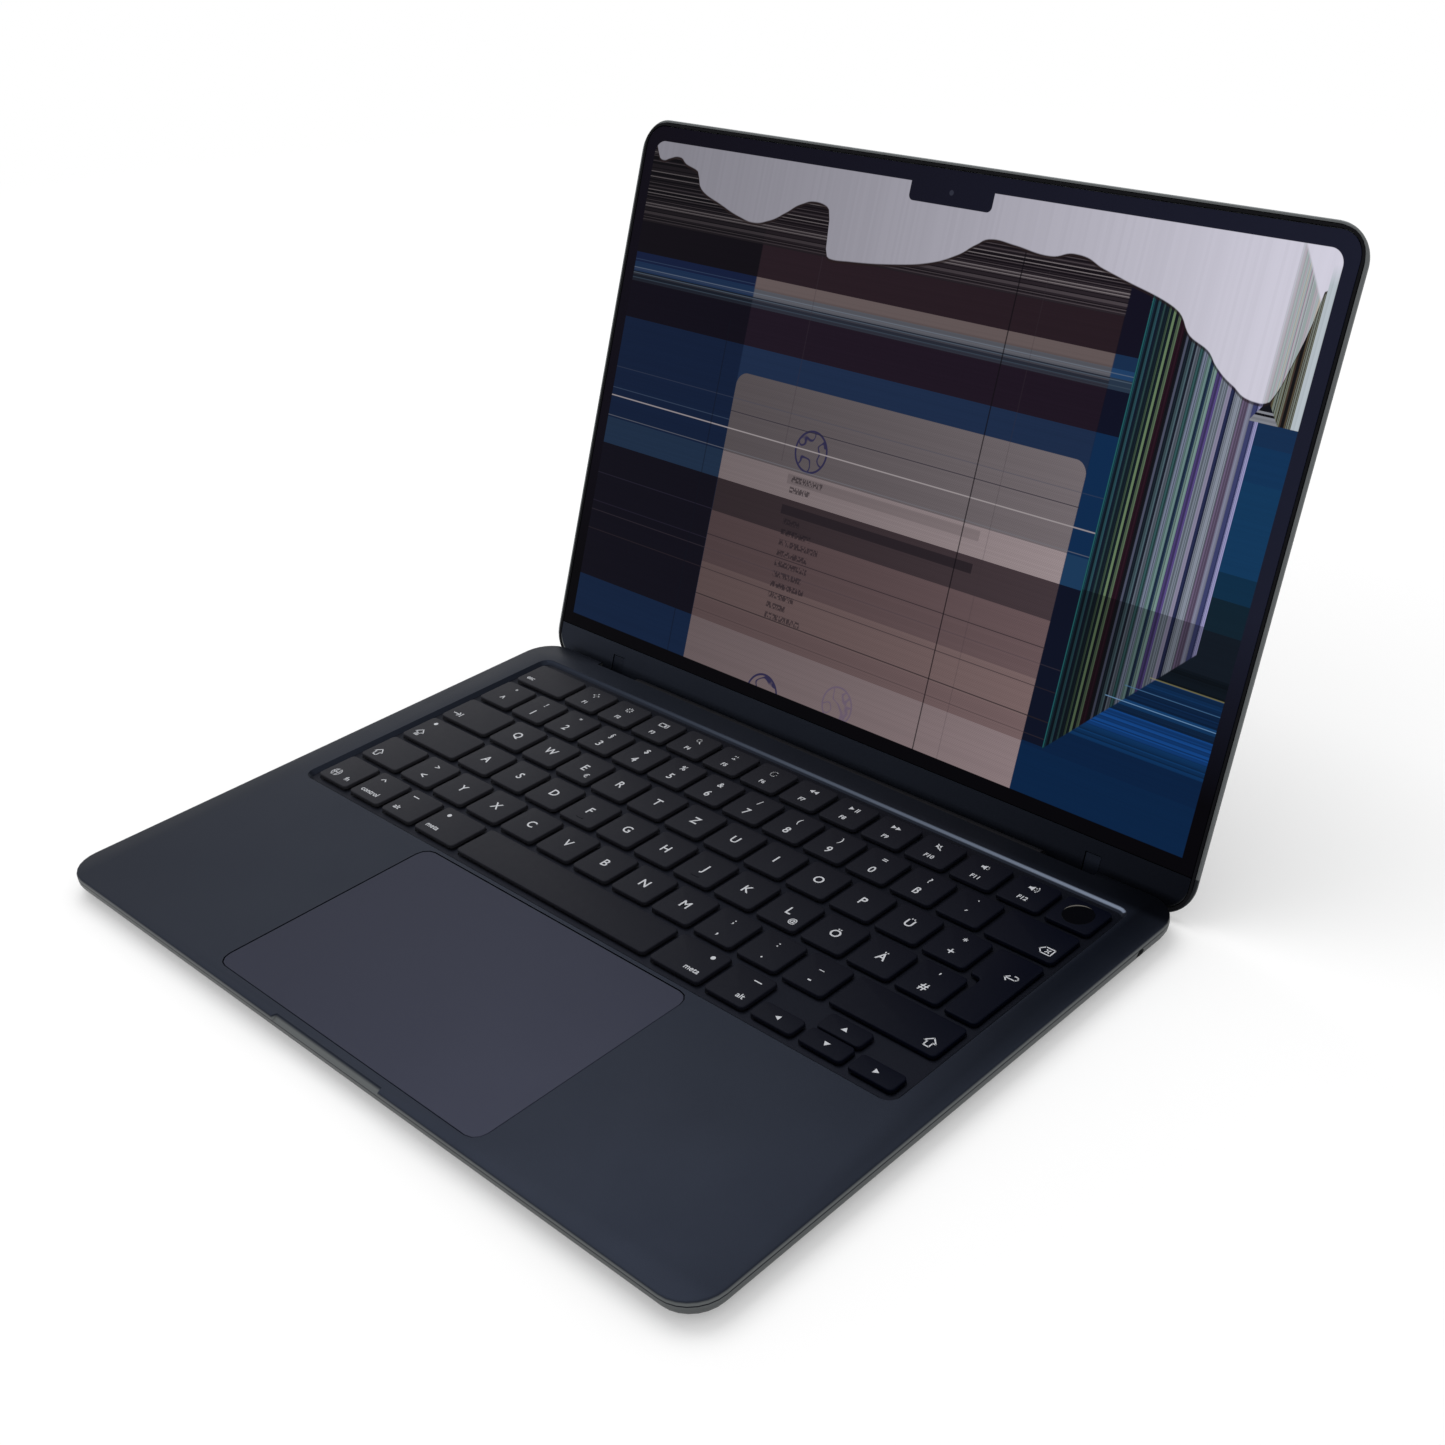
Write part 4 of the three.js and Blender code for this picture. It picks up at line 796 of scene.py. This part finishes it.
corners = [lid_corner(side, end) for side in (-1, 1) for end in (-1, 1)]
moulded("lid_corner_walls", corners, lid_metal, "lid")
print(len(corners), "corners of the lid are backed by a wall")

# %% [markdown]
# The places of the caps come from the frame. Keys that move are nodes of their own and give their
# own boxes. The character keys between them repeat at the pitch of the function keys, row by row.

# %% Where the keys are
CAP_CORNER = 1.6
CAP_EDGE = 0.4
CAP_THICKNESS = 1.3
STEM_HALF = 2.5
RETURN_STEP = 0.25
HOMING_CAPS = (28, 31)
HOMING_HALF, HOMING_FRONT, HOMING_REAR, HOMING_RISE = 1.6, 2.6, 3.1, 0.15
PLATE_CORNER, PLATE_THICKNESS = 3.5, 0.7
CHARACTER_ROWS = [
    ("key_esc", "key_backspace", 0, 13),
    ("key_tab", "key_tab", 1, 12),
    ("key_caps_lock", "key_caps_lock", 1, 12),
    ("key_shift_left", "key_shift_left", 1, 11),
]


def sides_of(node):
    """Left, right, front and rear of a node in millimetres."""
    low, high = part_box(node)
    return low.x / MM, high.x / MM, low.y / MM, high.y / MM


pitch = sides_of("key_f2")[0] - sides_of("key_f1")[0]
cap_width = sides_of("key_f1")[1] - sides_of("key_f1")[0]
gap = pitch - cap_width
cap_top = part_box("key_space")[1].z / MM
plate_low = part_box("keyboard_plate")[0].z / MM
moving = [name for name in frame["nodes"] if name.startswith("key_")]
characters = []
for beside, level, skip, count in CHARACTER_ROWS:
    front, rear = sides_of(level)[2:]
    left = sides_of(beside)[1] + gap if skip else sides_of(beside)[0]
    for number in range(count):
        start = left + number * pitch
        characters.append((start, start + cap_width, front, rear))
print(len(moving), "moving keys and", len(characters), "character keys, pitch", round(pitch, 2))


# %% Caps
def cap_corners(name):
    """The outline of a moving key. The return key is wide at the rear and narrow in front."""
    left, right, front, rear = sides_of(name)
    if name != "key_return":
        return box(left, right, front, rear)
    step, ledge = left + RETURN_STEP * pitch, sides_of("key_tab")[2]
    return [(left, ledge), (step, ledge), (step, front), (right, front), (right, rear), (left, rear)]


def cap(corners):
    """Straight sides, then an edge that follows a quarter circle of radius CAP_EDGE."""
    turn = np.linspace(0, math.pi / 2, 5)
    insets = np.concatenate([[0], CAP_EDGE * (1 - np.cos(turn))])
    heights = np.concatenate([[-CAP_THICKNESS], CAP_EDGE * (np.sin(turn) - 1)]) + cap_top
    rings = [
        lifted(outline(corners, inset, CAP_CORNER - inset), height)
        for inset, height in zip(insets, heights)
    ]
    return joined(rings)


def stem(x, y, low):
    """A square post under a cap."""
    flat = np.array(box(x - STEM_HALF, x + STEM_HALF, y - STEM_HALF, y + STEM_HALF))
    return prism(flat, low, cap_top - CAP_THICKNESS)


for name in moving:
    left, right, front, rear = sides_of(name)
    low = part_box(name)[0].z / MM
    solids = [cap(cap_corners(name)), stem((left + right) / 2, (front + rear) / 2, low)]
    made = moulded("cap_" + name[4:], solids, cap_plastic, name)
    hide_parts(name)

left, right, front, rear = sides_of("keyboard_plate")
plate_high = plate_low + PLATE_THICKNESS
solids = [prism(outline(box(left, right, front, rear), 0, PLATE_CORNER), plate_low, plate_high)]
for left, right, front, rear in characters:
    solids.append(cap(box(left, right, front, rear)))
    solids.append(stem((left + right) / 2, (front + rear) / 2, plate_high))
for number in HOMING_CAPS:
    left, right, front, rear = characters[number]
    middle = (left + right) / 2
    bar = box(middle - HOMING_HALF, middle + HOMING_HALF, front + HOMING_FRONT, front + HOMING_REAR)
    solids.append(prism(np.array(bar), cap_top - 0.1, cap_top + HOMING_RISE))
made = moulded("character_caps", solids, cap_plastic, "base")
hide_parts("keyboard_plate")
print("moulded", len(moving) + len(characters), "caps, two of them with a bar to feel")

# %% [markdown]
# Legends are printed in pale ink. A letter comes from Blender's own font, turned into a mesh. A
# sign such as the arrow on the shift key is a set of strokes, and a stroke is a thin bar from one
# point to the next. All of them lie a fiftieth of a millimetre proud of the cap.

# %% Letters and strokes
INK_THICKNESS = 0.03
INK_LOW = cap_top - 0.01
glyphs = {}


def word(text, x, y, size, side=0, bold=0.012):
    """A word size millimetres high at (x, y). Side 0 centres it, -1 starts it there, 1 ends it."""
    if text not in glyphs:
        letters = bpy.data.curves.new("letters", "FONT")
        letters.body = text
        letters.extrude = 0.5
        letters.offset = bold
        letters.resolution_u = 3
        holder = put("letters", letters)
        mesh = bpy.data.meshes.new_from_object(holder.evaluated_get(bpy.context.evaluated_depsgraph_get()))
        glyphs[text] = corners_of(mesh), [list(face.vertices) for face in mesh.polygons]
        bpy.data.objects.remove(holder)
        bpy.data.meshes.remove(mesh)
    corners, faces = glyphs[text]
    low, high = corners.min(0), corners.max(0)
    anchor = (low[0] + high[0] + side * (high[0] - low[0])) / 2
    flat = (corners[:, :2] - [anchor, 0.36]) * size + [x, y]
    depth = INK_LOW + (corners[:, 2] + 0.5) * INK_THICKNESS
    return np.column_stack([flat, depth]), faces


def strokes(lines, x, y, width=0.42, scale=1.0):
    """Thin bars along each line of points, a little longer than their stretch so that they meet."""
    solids = []
    for line in lines:
        line = np.asarray(line, float) * scale + [x, y]
        start, end = line[:-1], line[1:]
        along = (end - start) / np.linalg.norm(end - start, axis=1, keepdims=True) * width / 2
        across = np.stack([-along[:, 1], along[:, 0]], 1)
        ends = [start - along * 0.6 + across, start - along * 0.6 - across]
        ends += [end + along * 0.6 - across, end + along * 0.6 + across]
        for flat in np.stack(ends, 1):
            solids.append(prism(flat, INK_LOW, INK_LOW + INK_THICKNESS))
    return solids


def arc(radius, start=0, sweep=360, x=0.0, y=0.0, sides=14, squeeze=1.0):
    """Points on a circle or on a part of one, squeezed across if asked."""
    turn = np.radians(np.linspace(start, start + sweep, sides + 1))
    return np.column_stack([x + squeeze * radius * np.cos(turn), y + radius * np.sin(turn)])


def fills(shapes, x, y, scale=1.0):
    """Filled shapes, each given anticlockwise."""
    placed = [np.asarray(shape, float) * scale + [x, y] for shape in shapes]
    return [prism(flat, INK_LOW, INK_LOW + INK_THICKNESS) for flat in placed]


# %% [markdown]
# The signs are drawn once, in millimetres round their own middle. They are the plain ones that
# any keyboard carries: arrows, a sun for brightness, a lens, a moon, and the triangles of a
# player.

# %% Signs
UP_ARROW = [(-2.1, 0.1), (0, 2.2), (2.1, 0.1), (1, 0.1), (1, -1.9), (-1, -1.9), (-1, 0.1), (-2.1, 0.1)]
FORWARD = [(-1, -1), (0.8, 0), (-1, 1)]
SPEAKER = [(-1.9, -0.5), (-1.1, -0.5), (0, -1.3), (0, 1.3), (-1.1, 0.5), (-1.9, 0.5)]
EIGHTHS = np.arange(8) * math.pi / 4
RAYS = [[(np.cos(turn) * far, np.sin(turn) * far) for far in (1.1, 1.5)] for turn in EIGHTHS]


def moved(shape, x, flip=1):
    """The shape moved sideways, or mirrored first and then turned round to stay anticlockwise."""
    points = np.asarray(shape, float) * [flip, 1] + [x, 0]
    return points[::flip]


LINE_SIGNS = {
    "tab": [[(-2.1, 0), (1.5, 0)], [(0.4, 1.1), (1.5, 0), (0.4, -1.1)], [(2.2, 1.2), (2.2, -1.2)]],
    "caps": [UP_ARROW[:3] + [(1, 0.1), (1, -0.6), (-1, -0.6), (-1, 0.1), (-2.1, 0.1)],
             [(-1, -1.3), (1, -1.3), (1, -1.9), (-1, -1.9), (-1, -1.3)]],
    "shift": [UP_ARROW],
    "erase": [[(-2.4, 0), (-1, 1.6), (2.4, 1.6), (2.4, -1.6), (-1, -1.6), (-2.4, 0)],
              [(0, 0.7), (1.3, -0.7)], [(0, -0.7), (1.3, 0.7)]],
    "return": [[(-2.1, -0.5), (1.5, -0.5), (2.1, 0.1), (2.1, 0.7), (1.5, 1.3), (0.5, 1.3)],
               [(-0.9, 0.7), (-2.1, -0.5), (-0.9, -1.7)]],
    "globe": [arc(2.0), arc(2.0, squeeze=0.45), [(-2, 0), (2, 0)]],
    "chevron": [[(-1.1, -0.5), (0, 0.6), (1.1, -0.5)]],
    "bar": [[(-1.4, 0), (1.4, 0)]],
    "sun_small": [arc(0.6), *RAYS[::2]],
    "sun": [arc(0.7), *RAYS],
    "windows": [[(-2, -1), (0.6, -1), (0.6, 1), (-2, 1), (-2, -1)],
                [(1.1, -1), (2.1, -1), (2.1, 1), (1.1, 1), (1.1, -1)]],
    "lens": [arc(0.9, x=-0.3, y=0.3), [(0.4, -0.4), (1.4, -1.4)]],
    "microphone": [arc(0.5, 0, 180, y=0.8), [(-0.5, 0.8), (-0.5, 0)], [(0.5, 0.8), (0.5, 0)],
                   arc(0.5, 180, 180), [(0, -0.9), (0, -1.5)], [(-0.7, -1.5), (0.7, -1.5)]],
    "moon": [arc(1.4, 60, 250, sides=16), arc(1.25, 170, 130, x=0.62, y=0.9)],
    "pause": [[(1.1, -1), (1.1, 1)], [(1.9, -1), (1.9, 1)]],
    "loud": [arc(1.0, -45, 90, x=-0.1, sides=5), arc(1.9, -45, 90, x=-0.1, sides=5)],
    "soft": [arc(1.0, -45, 90, x=-0.1, sides=5)],
    "mute": [[(-1.9, 1.3), (0.9, -1.5)]],
}
FILLED_SIGNS = {
    "left": [moved(FORWARD, 0, -1)],
    "right": [FORWARD],
    "up": [[(-1.15, -0.75), (1.15, -0.75), (0, 0.95)]],
    "down": [[(1.15, 0.75), (-1.15, 0.75), (0, -0.95)]],
    "rewind": [moved(FORWARD, -0.9, -1), moved(FORWARD, 1.0, -1)],
    "play": [moved(FORWARD, -0.9)],
    "skip": [moved(FORWARD, -0.9), moved(FORWARD, 1.0)],
    "speaker": [SPEAKER],
    "dot": [arc(0.85)[:-1]],
}


def sign(name, x, y, scale=1.0):
    """A sign by its name, drawn with strokes or filled."""
    if name in FILLED_SIGNS:
        return fills(FILLED_SIGNS[name], x, y, scale)
    return strokes(LINE_SIGNS[name], x, y, 0.42, scale)


print(len(LINE_SIGNS) + len(FILLED_SIGNS), "signs")

# %% [markdown]
# A legend is a list of marks. Each mark has its word or sign, the side that it stands at, -1 for
# left and 1 for right, and its distance from the front edge of the cap.

# %% Legends
LETTER = 5.0
SMALL = 3.7
TINY = 2.6
WORD = 3.1
LABEL_BOLD = 0.024
MARGIN = 3.0
SIGN_HALF = 2.0
LETTER_RISE, LOW_RISE, HIGH_RISE = 8.0, 4.7, 11.4
SECOND_SHIFT = 4.4
SIGN_RISE, LABEL_RISE = 10.0, 3.9
CHARACTER_LEGENDS = [
    "^°", "1!", '2"', "3§", "4$", "5%", "6&", "7/", "8(", "9)", "0=", "ß?", "´`",
    "Q", "W", "E€", "R", "T", "Z", "U", "I", "O", "P", "Ü", "+*",
    "A", "S", "D", "F", "G", "H", "J", "K", "L@", "Ö", "Ä", "#'",
    "<>", "Y", "X", "C", "V", "B", "N", "M", ",;", ".:", "-_",
]
FUNCTION_SIGNS = [
    ["sun_small"], ["sun"], ["windows"], ["lens"], ["microphone"], ["moon"], ["rewind"],
    ["play", "pause"], ["skip"], ["speaker", "mute"], ["speaker", "soft"], ["speaker", "loud"],
]
MOVING_LEGENDS = {
    "esc": [("esc", -1, 4.0)],
    "tab": [("tab", -1, 4.3)],
    "caps_lock": [("dot", -1, 12.5), ("caps", -1, 4.6)],
    "shift_left": [("shift", -1, 4.4)],
    "shift_right": [("shift", 1, 4.4)],
    "backspace": [("erase", 1, 4.4)],
    "return": [("return", 1, 24.0)],
    "fn": [("globe", -1, 4.6), ("fn", 1, 4.1)],
    "control": [("chevron", -1, 12.0), ("control", -1, 4.1)],
    "alt_left": [("bar", -1, 12.0), ("alt", -1, 4.1)],
    "meta_left": [("dot", -1, 12.0), ("meta", -1, 4.1)],
    "meta_right": [("dot", 1, 12.0), ("meta", 1, 4.1)],
    "alt_right": [("bar", 1, 12.0), ("alt", 1, 4.1)],
    "arrow_left": [("left", 0, 3.7)],
    "arrow_right": [("right", 0, 3.7)],
    "arrow_up": [("up", 0, 3.7)],
    "arrow_down": [("down", 0, 3.7)],
}


def character_legend(marks, left, right, front):
    """One letter in the middle, or a character low down with its shifted one above it."""
    middle = (left + right) / 2
    if len(marks) == 1:
        return [word(marks, middle, front + LETTER_RISE, LETTER)]
    if marks[0].isalpha() and marks[0] != "ß":
        low = word(marks[1], middle + SECOND_SHIFT, front + SECOND_SHIFT, SMALL * 0.85)
        return [word(marks[0], middle, front + LETTER_RISE, LETTER), low]
    low = word(marks[0], middle, front + LOW_RISE, LETTER * 0.95)
    return [low, word(marks[1], middle, front + HIGH_RISE, SMALL)]


ink = []
for marks, (left, right, front, rear) in zip(CHARACTER_LEGENDS, characters):
    ink += character_legend(marks, left, right, front)
build("character_legends", ink, legend_ink, "base")

for number, signs in enumerate(FUNCTION_SIGNS, 1):
    name = f"key_f{number}"
    left, right, front, rear = sides_of(name)
    middle = (left + right) / 2
    ink = [mark for each in signs for mark in sign(each, middle, front + SIGN_RISE)]
    ink.append(word(f"F{number}", middle, front + LABEL_RISE, TINY, bold=LABEL_BOLD))
    build(f"legend_f{number}", ink, legend_ink, name)

for name, marks in MOVING_LEGENDS.items():
    left, right, front, rear = sides_of("key_" + name)
    ink = []
    for what, side, up in marks:
        edge_x = (left + MARGIN, (left + right) / 2, right - MARGIN)[side + 1]
        if what in LINE_SIGNS or what in FILLED_SIGNS:
            ink += sign(what, edge_x - SIGN_HALF * side, front + up)
        else:
            ink.append(word(what, edge_x, front + up, WORD, side))
    build("legend_" + name, ink, legend_ink, "key_" + name)
print("printed", len(CHARACTER_LEGENDS) + len(FUNCTION_SIGNS) + len(MOVING_LEGENDS), "legends")

# %% [markdown]
# The power key carries a round touch sensor of polished black glass, a hair proud of the cap. It
# is a shallow dish, h = rim - depth (1 - s^2) at the share s of its radius. A crescent of pale glass
# at its rear stands for the thin arc of light that the photograph shows there.

# %% Touch sensor
SENSOR_RADIUS = 5.1
SENSOR_PROUD = 0.06
SENSOR_DEPTH = 0.05
CRESCENT_SHIFT = (1.0, -1.2)
CRESCENT_RADIUS = 6.2
SENSOR_BLACK = paint(4, 4, 7)


def turned(profile, x, y, sides=48):
    """A solid of revolution: each (radius, height) of the profile becomes a ring round (x, y)."""
    turn = np.linspace(0, 2 * math.pi, sides, endpoint=False)
    circle = np.column_stack([np.cos(turn), np.sin(turn)])
    return joined([lifted(circle * radius + [x, y], height) for radius, height in profile])


left, right, front, rear = sides_of("key_power")
sensor_x, sensor_y = (left + right) / 2, (front + rear) / 2
sensor_glass, shader, wire = finish_of("sensor_glass", SENSOR_BLACK, 0.15, specular=0.04)
where = wire.place()
across, depth = where.along(ACROSS), where.along(DEEP)
crescent = across.away(sensor_x + CRESCENT_SHIFT[0], sensor_y + CRESCENT_SHIFT[1], depth)
crescent = crescent.above(CRESCENT_RADIUS, 0.3)
feed(shader, "Base Color", crescent.mix(SENSOR_BLACK, paint(104, 101, 96)))
share = np.linspace(1, 0.04, 9)
dish = [(SENSOR_RADIUS * part, cap_top + SENSOR_PROUD - SENSOR_DEPTH * (1 - part**2)) for part in share]
profile = [(SENSOR_RADIUS + 0.15, cap_top - 0.02), (SENSOR_RADIUS + 0.08, cap_top + SENSOR_PROUD), *dish]
sensor = turned(profile, sensor_x, sensor_y)
moulded("touch_sensor", [sensor], sensor_glass, "key_power")
print("sensor is", 2 * SENSOR_RADIUS, "mm across")

# %% [markdown]
# Four small screws hold the bottom cover. Each head lies in a recess of the cover, with a bevelled
# rim and a round socket, and is turned from the same kind of profile as the sensor.

# %% Screws
SCREW_FROM_SIDE = 9.7
SCREW_FROM_END = 9.2
cover_low, cover_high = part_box("bottom_cover")
cover_z = cover_low.z / MM
screw_profile = [
    (0.5, cover_z + 0.28), (0.85, cover_z + 0.24), (0.95, cover_z + 0.04), (1.5, cover_z + 0.04),
    (1.75, cover_z + 0.14), (1.75, cover_z + 0.33),
]
heads = []
for x_side in (cover_low.x / MM + SCREW_FROM_SIDE, cover_high.x / MM - SCREW_FROM_SIDE):
    for y_side in (cover_low.y / MM + SCREW_FROM_END, cover_high.y / MM - SCREW_FROM_END):
        heads.append(turned(screw_profile, x_side, y_side, 24))
smooth(build("bottom_screws", heads, steel, "base"))
print(len(heads), "screws")

# %% [markdown]
# The floor is a plain pale sheet, and the light is that of a white tent with one broad lamp.
# The world shows white to the camera and in reflections, and lights the object a little less than
# that, so that colours come out as they are written. The floor glows a little for the camera and in
# reflections, which softens the shadow, and far from the object it passes into the white of the tent.

# %% Floor, lamp and world
FLOOR_HALF = 4.0
FLOOR_DARK = (0.70, 0.70, 0.70, 1)
FLOOR_PALE = (0.715, 0.715, 0.715, 1)
FLOOR_GLOW = 0.27
TENT_NEAR, TENT_FAR = 0.35, 1.3
WORLD_LIGHT = 0.8
LAMP_SIZE, LAMP_POWER = 1.6, 18
LAMP_PLACE, LAMP_TURN = (-0.9, 0.3, 1.9), (-12, -26, 0)


def looked_at(wire):
    """1 for light that reaches the camera straight, by a mirror or through glass."""
    kinds = ("Camera", "Glossy", "Transmission")
    seen, mirrored, passed = (wire.node("LightPath", output=f"Is {kind} Ray") for kind in kinds)
    return wire.math("MAXIMUM", seen, wire.math("MAXIMUM", mirrored, passed))


floor_mesh = bpy.data.meshes.new("floor")
grid = np.array([(-1, -1, 0), (1, -1, 0), (1, 1, 0), (-1, 1, 0)], float) * FLOOR_HALF
floor_mesh.from_pydata(grid.tolist(), [], [(0, 1, 2, 3)])
floor_paint, shader, wire = finish_of("floor_paint", FLOOR_DARK, 0.9, 0.0, 0.0)
where = wire.place()
far = where.along(ACROSS).away(0, 0, where.along(DEEP)) * MM
far = far.above((TENT_NEAR + TENT_FAR) / 2, TENT_FAR - TENT_NEAR)
feed(shader, "Base Color", (1 - far).dim(wire.noise(3, 2.0).mix(FLOOR_DARK, FLOOR_PALE)))
shader.inputs["Emission Strength"].default_value = 1.0
glow = looked_at(wire) * (FLOOR_GLOW + (1 - FLOOR_GLOW) * far)
feed(shader, "Emission Color", glow.dim((1, 1, 1)))
floor_mesh.materials.append(floor_paint)
floor = put("floor", floor_mesh)

world = bpy.data.worlds.new("white_tent")
world.use_nodes = True
scene.world = world
sky = world.node_tree.nodes["Background"]
feed(sky, "Strength", WORLD_LIGHT + (1 - WORLD_LIGHT) * looked_at(Wire(world.node_tree)))
sky.inputs["Color"].default_value = (1, 1, 1, 1)

lamp_data = bpy.data.lights.new("broad_lamp", "AREA")
lamp_data.size = LAMP_SIZE
lamp_data.energy = LAMP_POWER
lamp = put("broad_lamp", lamp_data)
lamp.location = LAMP_PLACE
lamp.rotation_euler = np.radians(LAMP_TURN)
print("floor, world and lamp are set")
